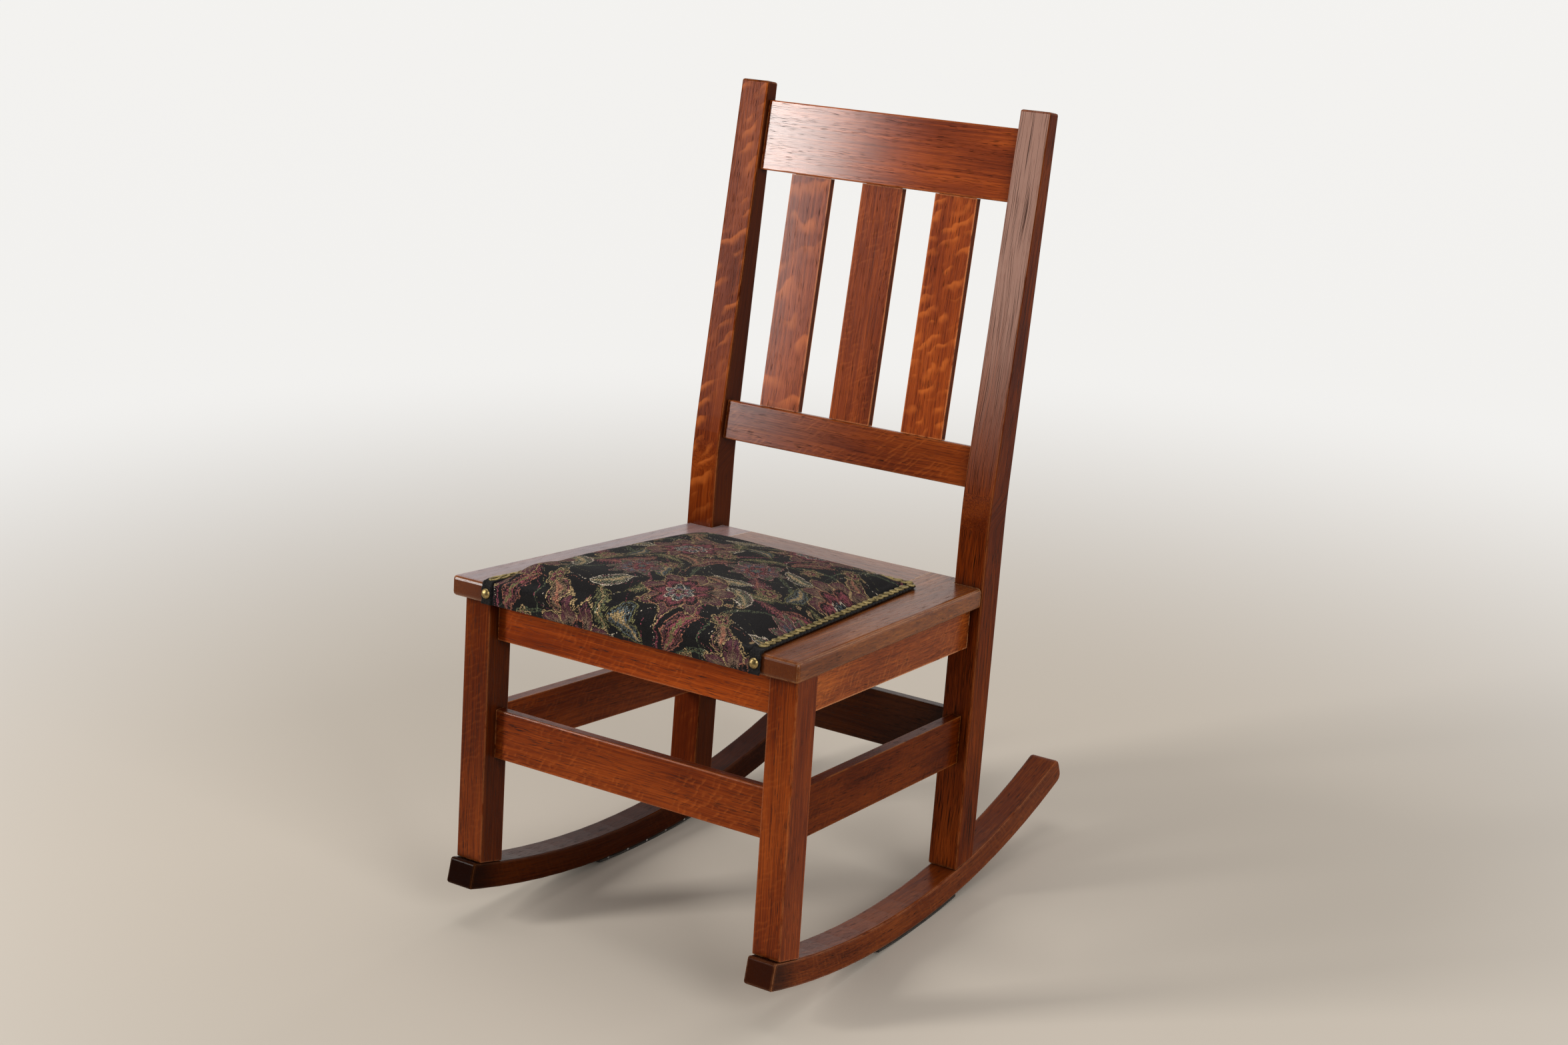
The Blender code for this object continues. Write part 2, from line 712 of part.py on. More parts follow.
def make_nails():
    """Domed nails through the gimp's front ends, with the bores for their shanks."""
    bores = {}
    steps = 5
    turns = [pi / 2 * k / steps for k in range(steps)]
    dome = [(NAIL_RADIUS * sin(turn), NAIL_HEIGHT * cos(turn)) for turn in turns]
    shank = [(NAIL_SHANK_RADIUS, 0), (NAIL_SHANK_RADIUS, -NAIL_SHANK), (0, -NAIL_SHANK)]
    profile = dome + [(NAIL_RADIUS, 0)] + shank
    for side_name, side in SIDES:
        place_at = (side * NAIL_X, GIMP_FACE - CLEAR, NAIL_Z)
        piece = turned(f"brass_nail_{side_name}", profile, "brass", place_at, pi / 2)
        piece.data.shade_smooth()
        bore = cylinder_mesh("bore", NAIL_SHANK_RADIUS + CLEAR, -NAIL_SHANK - CLEAR, NAIL_HEIGHT, (0, 0), 8)
        cutter = place_cutter(f"bore nail {side_name}", bore, frame)
        cutter.location = place_at
        cutter.rotation_euler.x = pi / 2
        bores[side_name] = cutter
    return bores


NAIL_BORES = make_nails()


def make_blocks():
    """Corner blocks behind the legs and ahead of the posts, each with a screw up into the seat."""
    inner = side_rail_x(SIDE_APRON_INSET + APRON_THICK + CLEAR)
    front_face = LEG_FRONT + FRONT_APRON_SETBACK + APRON_THICK + CLEAR
    rear_face = post_face(APRON_TOP - BLOCK_HEIGHT, REAR_APRON_SETBACK) - CLEAR
    ends = {
        "front": (front_face, LEG_IN, LEG_BACK + CLEAR, 1),
        "rear": (rear_face, POST_IN, post_face(APRON_TOP - BLOCK_HEIGHT) - CLEAR, -1),
    }
    top = APRON_TOP
    low = top - BLOCK_HEIGHT
    bore_top = SEAT_BOTTOM + SCREW_BITE
    bores = {"left": [], "right": []}
    for end_name, (face, post_x, post_y, way) in ends.items():
        far_y = post_y + way * BLOCK_REACH
        corners = [(post_x - CLEAR - BLOCK_REACH, face), (post_x - CLEAR, face), (post_x - CLEAR, post_y),
                   (inner(post_y), post_y), (inner(far_y), far_y)]
        screw_y = post_y + way * SCREW_SETBACK
        screw_x = inner(screw_y) - SCREW_INSET
        under = -BLOCK_HEIGHT - 2 * CLEAR
        profile = [(0, SCREW_BITE), (SCREW_RADIUS, SCREW_BITE), (SCREW_RADIUS, under),
                   (SCREW_HEAD_RADIUS, under), (SCREW_HEAD_RADIUS, under - SCREW_HEAD), (0, under - SCREW_HEAD)]
        for side_name, side in SIDES:
            name = f"{end_name}_{side_name}"
            axes = Matrix.Translation((0, 0, (low + top) / 2 - CLEAR)) @ PLAN_VIEW
            mesh = prism_mesh("block", [Vector(c) for c in corners], BLOCK_HEIGHT, axes)
            centre = (side * screw_x, screw_y)
            bore = cylinder_mesh("bore", SCREW_RADIUS + CLEAR, low - SCREW_HEAD, bore_top, centre, 12)
            cutter = place_cutter("bore screw " + name, bore, frame)
            place("corner_block_" + name, mirrored(mesh, side), "inner wood", frame, cutters=[cutter])
            turned("seat_screw_" + name, profile, "steel", (*centre, top - CLEAR), steps=12)
            bores[side_name].append(cutter)
    return bores


SCREW_BORES = make_blocks()


def make_seat_boards():
    notch_y = post_face(SEAT_BOTTOM) - CLEAR
    notch_x = POST_IN - CLEAR
    plan = [(seat_edge(SEAT_FRONT), SEAT_FRONT), (seat_edge(notch_y), notch_y), (notch_x, notch_y),
            (notch_x, SEAT_REAR), (board_edge(SEAT_REAR), SEAT_REAR), (board_edge(SEAT_FRONT), SEAT_FRONT)]
    for side_name, side in SIDES:
        mesh = board_mesh("side board", plan, {0, 3, 5})
        cutters = [*SCREW_BORES[side_name], NAIL_BORES[side_name]]
        place(f"seat_board_{side_name}", mirrored(mesh, side), "oak", frame, cutters=cutters)

    def cross_board(name, front, rear, rounded):
        front_x, rear_x = board_edge(front) - CLEAR, board_edge(rear) - CLEAR
        corners = [(front_x, front), (rear_x, rear), (-rear_x, rear), (-front_x, front)]
        place(name, board_mesh(name, corners, {rounded}), "oak", frame)

    cross_board("seat_board_front", SEAT_FRONT, SEAT_FRONT + FRONT_BOARD, 3)
    cross_board("seat_board_rear", PAD_REAR - BOARD_LAP, SEAT_REAR, 1)


make_seat_boards()


def rise(distance, run):
    """Share of the crown reached some way in from a seam: steep at first, then easing off."""
    share = min(max(distance / run, 0.0), 1.0)
    return sin(pi / 2 * sqrt(share))


WRAP = BOARD_ROUND + CLEAR
TOP_RUN = PAD_REAR - GIMP_LAP - SEAT_FRONT - BOARD_ROUND
WRAP_RUN = WRAP * pi / 2
DROP_RUN = SEAT_THICK - BOARD_ROUND - CLEAR


def cover_path(run):
    """Side-view point and outward direction along the cover, from its rear edge over the front and down."""
    if run <= TOP_RUN:
        return Vector((PAD_REAR - GIMP_LAP - run, SEAT_TOP + CLEAR)), Vector((0, 1))
    if run <= TOP_RUN + WRAP_RUN:
        turn = (run - TOP_RUN) / WRAP
        out = Vector((-sin(turn), cos(turn)))
        return Vector((SEAT_FRONT + BOARD_ROUND, SEAT_TOP - BOARD_ROUND)) + out * WRAP, out
    drop = run - TOP_RUN - WRAP_RUN
    return Vector((SEAT_FRONT - CLEAR, SEAT_TOP - BOARD_ROUND - drop)), Vector((-1, 0))


def from_seams(side, rear):
    """Distance in from two seams that meet at a corner: that from the nearer, and less where both are near."""
    if min(side, rear) <= 0:
        return 0.0
    return side * rear / sqrt(side * side + rear * rear)


def crown_at(run, side_distance):
    """Height of the stuffed form off the boards, from the distances in from the cover's edges."""
    sides = rise(from_seams(side_distance - FLANGE, run - FLANGE), CROWN_RUN)
    nose = rise(TOP_RUN + WRAP_RUN - run, NOSE_RUN)
    lip = rise(TOP_RUN + WRAP_RUN + DROP_RUN - run, DROP_RUN)
    return sides * (CROWN * nose + NOSE_BULGE * lip * (1 - nose))


def eased_in(start, end, steps):
    """Distances from a seam to the middle, closer together by the seam."""
    return [start + (end - start) * (k / steps) ** 2 for k in range(steps + 1)]


def eased_both(start, end, steps):
    """Distances from one seam to another, closer together by both."""
    return [start + (end - start) * sin(pi / 2 * k / steps) ** 2 for k in range(steps + 1)]


def soft_grid(bm, columns, columns_in, runs, lift):
    """A grid over the seat raised to the stuffed form, from its columns' distances in and its rows' runs."""
    rows = len(runs) - 1
    bmesh.ops.create_grid(bm, x_segments=columns, y_segments=rows, size=1)
    for vert in bm.verts:
        column = round((vert.co.x + 1) / 2 * columns)
        run = runs[round((vert.co.y + 1) / 2 * rows)]
        point, out = cover_path(run)
        edge = pad_edge(point.x) - GIMP_LAP
        distance = columns_in(edge)[min(column, columns - column)]
        x = edge - distance if 2 * column > columns else distance - edge
        y, z = point + out * (crown_at(run, distance) + lift)
        vert.co = (x, y, z)


def make_cover():
    half_columns = 8
    rows = 13
    front_run = TOP_RUN + WRAP_RUN
    runs = [0.0] + eased_both(FLANGE, TOP_RUN, rows)
    runs += [TOP_RUN + WRAP_RUN * k / 4 for k in (1, 2, 3)]
    runs += [front_run, front_run + DROP_RUN / 2, front_run + DROP_RUN]
    bm = bmesh.new()
    soft_grid(bm, 2 * half_columns + 2, lambda edge: [0.0] + eased_in(FLANGE, edge, half_columns), runs, 0.0)
    mesh = finish_mesh(bm, "cover")
    if mesh.polygons[0].normal.z < 0:
        mesh.flip_normals()
    cover = place("seat_cover", mesh, "tapestry", frame, smooth=True)
    shell = cover.modifiers.new("cloth", "SOLIDIFY")
    shell.thickness = COVER_THICK
    shell.offset = 1
    shell.use_even_offset = True
    for bore in NAIL_BORES.values():
        cut = cover.modifiers.new("nail hole", "BOOLEAN")
        cut.operation = "DIFFERENCE"
        cut.object = bore


make_cover()


def make_padding():
    """Stuffing between the straps and the cover."""
    half_columns = 6
    rows = 12
    start = FLANGE + PADDING_INSET
    floor = SEAT_TOP + 2 * (STRAP_THICK + CLEAR) + CLEAR
    runs = eased_both(start, TOP_RUN - PADDING_INSET, rows)
    bm = bmesh.new()
    soft_grid(bm, 2 * half_columns, lambda edge: eased_in(start, edge, half_columns), runs, -PADDING_SLACK)
    under = bmesh.ops.extrude_face_region(bm, geom=bm.faces[:])
    for vert in under["geom"]:
        if isinstance(vert, bmesh.types.BMVert):
            vert.co.z = floor
    place("seat_padding", finish_mesh(bm, "padding"), "cotton", frame, smooth=True)


make_padding()


def make_straps():
    """Webbing over the frame, front to back below and side to side above."""
    inset = GIMP_WIDTH + PADDING_INSET
    front = SEAT_FRONT + BOARD_ROUND + PADDING_INSET
    rear = PAD_REAR - inset
    low = SEAT_TOP + CLEAR
    for index in range(STRAPS_LONG):
        x = (2 * (index + 1) / (STRAPS_LONG + 1) - 1) * board_edge(rear)
        box = ((x - STRAP_WIDTH / 2, front, low), (x + STRAP_WIDTH / 2, rear, low + STRAP_THICK))
        place(f"strap_long_{index + 1}", box_mesh("strap", box), "jute", frame)
    low += STRAP_THICK + CLEAR
    for index in range(STRAPS_ACROSS):
        y = between(index + 1, (0, front), (STRAPS_ACROSS + 1, rear))
        half = pad_edge(y + STRAP_WIDTH / 2) - inset
        box = ((-half, y - STRAP_WIDTH / 2, low), (half, y + STRAP_WIDTH / 2, low + STRAP_THICK))
        place(f"strap_across_{index + 1}", box_mesh("strap", box), "jute", frame)


make_straps()


def make_gimp():
    """Braid on three sides of the cover, turned down over the front edge at its ends."""
    low = SEAT_TOP + COVER_GAP + CLEAR
    high = low + GIMP_THICK
    bottom = SEAT_BOTTOM + CLEAR
    inner_round = BOARD_ROUND + COVER_GAP + CLEAR
    face = GIMP_FACE + GIMP_THICK
    rear = PAD_REAR - GIMP_WIDTH - CLEAR
    corners = [((rear, low), 0), ((rear, high), 0), ((GIMP_FACE, high), inner_round + GIMP_THICK),
               ((GIMP_FACE, bottom), 0), ((face, bottom), 0), ((face, low), inner_round)]
    for side_name, side in SIDES:
        mesh = prism_mesh("gimp", filleted(corners), GIMP_WIDTH, SIDE_VIEW)
        for vert in mesh.vertices:
            vert.co.x += pad_edge(max(vert.co.y, SEAT_FRONT)) - GIMP_WIDTH / 2
        place(f"gimp_{side_name}", mirrored(mesh, side), "braid", frame, cutters=[NAIL_BORES[side_name]])
    half = pad_edge(PAD_REAR)
    rear_box = ((-half, PAD_REAR - GIMP_WIDTH, low), (half, PAD_REAR, high))
    place("gimp_rear", box_mesh("gimp", rear_box), "braid", frame)


make_gimp()


def centre_stand():
    """Moves the stand so that the chair's box is centred on the origin, front to back."""
    bpy.context.view_layer.update()
    graph = bpy.context.evaluated_depsgraph_get()
    depths = []
    for piece in PARTS.objects:
        if piece.type == "MESH":
            shape = piece.evaluated_get(graph)
            depths += [(shape.matrix_world @ Vector(corner)).y for corner in shape.bound_box]
    stand.location.y = -(min(depths) + max(depths)) / 2


centre_stand()
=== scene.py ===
import json
import random
from math import ceil, cos, pi, radians, sin, sqrt

import bmesh
import bpy
from mathutils import Matrix, Vector
from mathutils import noise as lumps


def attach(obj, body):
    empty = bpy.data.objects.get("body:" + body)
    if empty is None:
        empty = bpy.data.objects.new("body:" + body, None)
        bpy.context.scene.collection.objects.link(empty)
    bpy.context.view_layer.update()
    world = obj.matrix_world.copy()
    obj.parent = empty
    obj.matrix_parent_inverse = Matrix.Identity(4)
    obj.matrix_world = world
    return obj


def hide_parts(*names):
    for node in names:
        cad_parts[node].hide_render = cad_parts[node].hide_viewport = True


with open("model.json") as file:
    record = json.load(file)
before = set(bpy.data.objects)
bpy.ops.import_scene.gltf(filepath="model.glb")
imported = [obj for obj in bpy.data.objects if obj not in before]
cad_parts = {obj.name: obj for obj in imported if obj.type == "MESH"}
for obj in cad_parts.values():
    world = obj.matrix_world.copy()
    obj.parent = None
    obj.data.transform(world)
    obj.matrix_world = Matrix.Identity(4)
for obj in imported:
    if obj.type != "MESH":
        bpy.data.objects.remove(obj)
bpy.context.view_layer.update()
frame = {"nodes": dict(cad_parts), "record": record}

# How the chair stands: its frame is square until it leans back on the rockers, and the back rakes further
LEAN = radians(4.9)
RAKE = radians(7.8)
STAND_HEIGHT = 0.00267
ROCKER_RADIUS = 0.9425
BALANCE = frame["record"]["mounts"][0]["pos_m"][1]
SQUARE = Matrix.Translation((0, BALANCE, STAND_HEIGHT)) @ Matrix.Rotation(-LEAN, 4, "X")
MM = 1000.0
NODES = frame["nodes"]
SCENE = bpy.context.scene


def square_box(node):
    """A node's lowest and highest corners in the chair's own square frame."""
    back = SQUARE.inverted()
    points = [back @ vert.co for vert in NODES[node].data.vertices]
    low = Vector(min(p[axis] for p in points) for axis in range(3))
    high = Vector(max(p[axis] for p in points) for axis in range(3))
    return low, high


def forward(operation):
    """An operator on two shades, or on a shade and then a number."""
    return lambda self, other: self.finish.math(operation, self, other)


def backward(operation):
    """The same on a number and then a shade."""
    return lambda self, other: self.finish.math(operation, other, self)


class Shade:
    """One socket of a finish, with the arithmetic that the finishes are written in."""

    def __init__(self, finish, socket):
        self.finish = finish
        self.socket = socket

    def output(self, name):
        return Shade(self.finish, self.socket.node.outputs[name])

    def __abs__(self):
        return self.finish.math("ABSOLUTE", self)

    __add__ = forward("ADD")
    __radd__ = backward("ADD")
    __sub__ = forward("SUBTRACT")
    __rsub__ = backward("SUBTRACT")
    __mul__ = forward("MULTIPLY")
    __rmul__ = backward("MULTIPLY")
    __truediv__ = forward("DIVIDE")
    __lt__ = forward("LESS_THAN")
    __gt__ = forward("GREATER_THAN")


class Finish:
    """A tree of nodes: a material's, a world's or a motif's."""

    def __init__(self, tree):
        self.tree = tree
        ends = ("BSDF_PRINCIPLED", "BACKGROUND")
        self.shader = next((node for node in tree.nodes if node.type in ends), None)

    def node(self, kind, settings=None, sockets=None, out=0):
        """Any node: its settings are set first, then its sockets, by name or number."""
        family = "Node" if kind in ("GroupInput", "GroupOutput") else "ShaderNode"
        made = self.tree.nodes.new(family + kind)
        for key, value in (settings or {}).items():
            setattr(made, key, value)
        for key, value in (sockets or {}).items():
            self.feed(made.inputs[key], value)
        return Shade(self, made.outputs[out]) if made.outputs else None

    def feed(self, socket, value):
        if isinstance(value, Shade):
            self.tree.links.new(value.socket, socket)
        elif socket.type == "RGBA":
            socket.default_value = (*value[:3], 1.0)
        else:
            socket.default_value = value

    def math(self, operation, *values):
        return self.node("Math", {"operation": operation}, dict(enumerate(values)))

    def mix(self, share, first, second, blend="MIX"):
        settings = {"data_type": "RGBA", "blend_type": blend}
        return self.node("Mix", settings, {0: share, 6: first, 7: second}, 2)

    def step(self, value, start, end):
        """0 up to the start, 1 past the end and smooth between, whichever of the two is greater."""
        settings = {"interpolation_type": "SMOOTHSTEP"}
        return self.node("MapRange", settings, {"Value": value, "From Min": start, "From Max": end})

    def vector(self, x, y, z):
        return self.node("CombineXYZ", None, {0: x, 1: y, 2: z})

    def split(self, vector):
        first = self.node("SeparateXYZ", None, {0: vector})
        return first, first.output("Y"), first.output("Z")

    def noise(self, vector, detail, roughness=0.5, scale=1.0):
        sockets = {"Vector": vector, "Scale": scale, "Detail": detail, "Roughness": roughness}
        return self.node("TexNoise", None, sockets)

    def stretched(self, place, sizes, detail, roughness=0.5):
        """Noise at a place in millimetres, drawn out by a size each way."""
        shrunk = self.vector(*(part / size for part, size in zip(place, sizes)))
        return self.noise(shrunk, detail, roughness)

    def place(self):
        """Where the surface lies, in metres."""
        return self.node("TexCoord", out="Object")

    def place_mm(self, tilt=0.0):
        """The same in millimetres, in a frame that leans back by the tilt."""
        sockets = {"Vector": self.place(), "Rotation": (tilt, 0.0, 0.0), "Scale": (MM, MM, MM)}
        return self.node("Mapping", None, sockets)

    def vector_math(self, operation, *values, out=0):
        return self.node("VectorMath", {"operation": operation}, dict(enumerate(values)), out)

    def length(self, vector):
        return self.vector_math("LENGTH", vector, out="Value")

    def bump(self, height, strength, distance):
        return self.node("Bump", None, {"Height": height, "Strength": strength, "Distance": distance})

    def set(self, **sockets):
        """The shader's own sockets, with words joined by underscores."""
        for name, value in sockets.items():
            self.feed(self.shader.inputs[name.replace("_", " ")], value)


def new_finish(name):
    material = bpy.data.materials.new(name)
    material.use_nodes = True
    return material, Finish(material.node_tree)


# Fumed oak under old lacquer
OAK_DEEP = (0.080, 0.0105, 0.0016)
OAK_BASE = (0.165, 0.0250, 0.0032)
OAK_LIGHT = (0.300, 0.0560, 0.0066)
OAK_RAY = (0.460, 0.1080, 0.0170)
OAK_PORE = (0.014, 0.0034, 0.0012)
OAK_WORN = (0.540, 0.1800, 0.0580)
# Painted sheen: a pale veil of reflected light laid into the colour.
OAK_PAINTED_SHEEN = (0.500, 0.2800, 0.2150)
# Side faces: a darker stain together with painted shade.
OAK_SIDE_STAIN_AND_SHADE = (0.040, 0.0090, 0.0028)
PLAIN_LACQUER = 1.21
PLAIN_LINES = 0.25
# Where the rockers begin and finish growing darker towards their front ends.
TOE_DARKENING = (-0.235, -0.283)
POST_BEND = (0.39, 0.43)
CORNER_REACH = 0.014
ARRIS_REACH = 0.0028
SEED_STEP = 1.37
SEED_SHIFT = (731.0, 57.0)


def grain_place(finish, grain, tilt):
    """Millimetres along, across and through the grain of a piece, from where its surface lies."""
    if grain == "arc":
        x, y, z = finish.split(finish.place())
        ahead = y - BALANCE
        down = ROCKER_RADIUS + STAND_HEIGHT - z
        turn = finish.math("ARCTAN2", ahead, down)
        reach = finish.length(finish.vector(0.0, ahead, down))
        return turn * (ROCKER_RADIUS * MM), reach * MM, x * MM
    x, y, z = finish.split(finish.place_mm(tilt))
    if grain == "z bent":
        raked = finish.step(finish.split(finish.place())[2], *POST_BEND)
        _, upright_y, upright_z = finish.split(finish.place_mm(LEAN))
        y = upright_y + (y - upright_y) * raked
        z = upright_z + (z - upright_z) * raked
        return z, x, y
    places = {"x": (x, z, y), "y": (y, z, x), "z": (z, x, y), "y flat": (y, x, z), "x flat": (x, y, z)}
    return places[grain]


def ray_flecks(finish, along, across, strength, slant, pitch, long):
    """Bowed strokes of brighter wood across a quarter-sawn face, crisp above and fading below."""
    lean = radians(slant)
    reach = across * cos(lean) + along * sin(lean)
    over = along * cos(lean) - across * sin(lean)
    bow = finish.noise(finish.vector(over / (2.4 * pitch), reach / long, 0.0), 2.0)
    saw = finish.math("FRACT", over / pitch + bow * 2.0)
    stroke = finish.step(saw, 0.30, 0.80) * (1 - finish.step(saw, 0.84, 0.97))
    broken = finish.noise(finish.vector(over / (1.4 * pitch), reach / long, 7.0), 1.0)
    patch = finish.noise(finish.vector(along / 90.0, across / 60.0, 5.0), 1.0)
    return stroke * finish.step(broken, 0.42, 0.60) * finish.step(patch, 0.34, 0.52) * strength


def oak_pores(finish, place, lines):
    """Short dark dashes that gather in belts, and those together with long fine lines."""
    belt = finish.stretched(place, (330.0, 5.5, 7.5), 1.0)
    dash = finish.stretched(place, (13.0, 0.52, 0.52), 0.0)
    dash = finish.step(dash, 0.64, 0.71) * (0.45 + 0.55 * finish.step(belt, 0.40, 0.58))
    line = finish.step(finish.stretched(place, (90.0, 0.62, 0.62), 1.0), 0.52, 0.66)
    return dash, finish.math("MAXIMUM", dash * min(1.0, 1.2 - lines * 0.75), line * lines)


def corner_shade_and_wear(finish, colour, place, cloud):
    """Painted shade with grime in the corners and between parts, and arrises rubbed back to paler wood."""
    # Painted shade: the colour darkens where nearby parts shelter the surface.
    shelter = finish.node("AmbientOcclusion", {"samples": 6}, {"Distance": CORNER_REACH}, "AO")
    grime_and_shade = 1 - finish.step(shelter + (cloud - 0.5) * 0.3, 0.40, 0.86)
    colour = finish.mix(grime_and_shade * 0.8, colour, OAK_PORE)
    soft = finish.node("Bevel", {"samples": 4}, {"Radius": ARRIS_REACH})
    flat = finish.node("NewGeometry", out="Normal")
    edge = finish.vector_math("DOT_PRODUCT", soft, flat, out="Value")
    rubbed = finish.stretched(place, (30.0, 9.0, 9.0), 4.0, 0.65)
    wear = (1 - finish.step(edge, 0.86, 0.99)) * finish.step(rubbed, 0.35, 0.51)
    return finish.mix(wear * 0.9, colour, OAK_WORN)


def oak(name, seed, grain, face, tilt=LEAN, flecks=None, lines=PLAIN_LINES, tone=None,
        lacquer=PLAIN_LACQUER, painted_light=None, polish=None, stained_and_shaded_sides=0.0):
    """Quarter-sawn oak: streaks and pores run with the grain, and rays flash across its sawn face."""
    material, finish = new_finish(name)
    along, across, through = grain_place(finish, grain, tilt)
    along = along + SEED_SHIFT[0] * seed
    across = across + SEED_SHIFT[1] * seed
    wander = finish.stretched((along, across, through), (190.0, 50.0, 50.0), 2.0)
    across = across + (wander - 0.5) * 11.0
    place = (along, across, through)
    streak = finish.stretched(place, (240.0, 2.1, 3.0), 3.0, 0.62)
    fibre = finish.stretched(place, (24.0, 0.42, 0.42), 1.0)
    cloud = finish.stretched(place, (130.0, 40.0, 40.0), 2.0)
    dash, pore = oak_pores(finish, place, lines)
    facing = dict(zip("xyz", finish.split(finish.node("TexCoord", out="Normal"))))
    sawn = finish.step(abs(facing[face]), 0.75, 0.95)
    cut_end = finish.step(abs(facing["y" if grain == "arc" else grain[0]]), 0.75, 0.95)

    depth = streak * 0.55 + cloud * 0.55 + fibre * 0.30
    colour = finish.mix(finish.step(depth, 0.50, 0.78), OAK_LIGHT, OAK_BASE)
    colour = finish.mix(finish.step(depth, 0.70, 0.98), colour, OAK_DEEP)
    if flecks:
        ray = ray_flecks(finish, along, across, *flecks) * sawn * (0.45 + 1.1 * fibre)
        colour = finish.mix(ray, colour, OAK_RAY)
        pore = pore * (1 - 0.7 * ray)
    colour = finish.mix(pore * 0.88, colour, OAK_PORE)
    colour = finish.mix(cut_end * 0.75, colour, OAK_DEEP)
    aside, ahead, height = finish.split(finish.place())
    # Painted shade, with a darker stain, on the faces other than the sawn face.
    if stained_and_shaded_sides:
        colour = finish.mix((1 - sawn) * stained_and_shaded_sides, colour, OAK_SIDE_STAIN_AND_SHADE)
    # The rockers grow darker towards their front ends.
    if grain == "arc":
        colour = finish.mix(finish.step(ahead, *TOE_DARKENING) * 0.75, colour, OAK_PORE)
    colour = corner_shade_and_wear(finish, colour, place, cloud)
    # Painted light over the sawn face between two heights: a pale painted sheen, or a dark painted shade.
    if painted_light:
        start, end, strength, painted_colour = painted_light
        share = finish.step(height, start, end) * sawn * (0.50 + 1.0 * streak) * strength
        colour = finish.mix(share * (1 - 0.9 * pore), colour, painted_colour)
    if tone:
        tint = tone if isinstance(tone, tuple) else (tone, tone, tone)
        colour = finish.mix(1.0, colour, tint, "MULTIPLY")

    gloss = 0.20 + 0.30 * dash + 0.09 * cloud
    relief = finish.bump(fibre * 0.05 - pore * 0.9, 0.14, 0.0003)
    finish.set(Base_Color=colour, Roughness=gloss, IOR=lacquer, Normal=relief)
    if polish:
        start, end, strength = polish
        kept = finish.step(aside, start, end) * (1 - 0.9 * pore) * strength
        finish.set(Coat_Weight=kept, Coat_Roughness=0.19, Coat_IOR=1.5)
    return material


# Flecks: strength, slant in degrees, pitch and length in mm.
# Tone: a factor, or one each for red, green and blue; on the rear stretcher and left rocker it is painted
# shade, and on the right side apron partly a painted sheen.
# Painted light: a painted sheen on some pieces and a painted shade below the seat on another; heights
# where it starts and is whole, strength and colour.
# Polish: places across the chair where it starts and is whole, and strength.
FINE_FLECKS = (0.20, 34, 6.0, 14.0)
FAINT_FLECKS = (0.16, 30, 6.0, 15.0)
BOARD_TONE = (0.95, 1.55, 2.30)
CROSS_RAIL = dict(grain="x", face="y")
SIDE_RAIL = dict(grain="y", face="x", flecks=FINE_FLECKS)
LEG = dict(grain="z", face="y", flecks=FAINT_FLECKS, lines=0.4)
POST = dict(grain="z bent", face="y", tilt=LEAN + RAKE)
BACK_RAIL = dict(grain="x", face="y", tilt=LEAN + RAKE, lacquer=1.10)
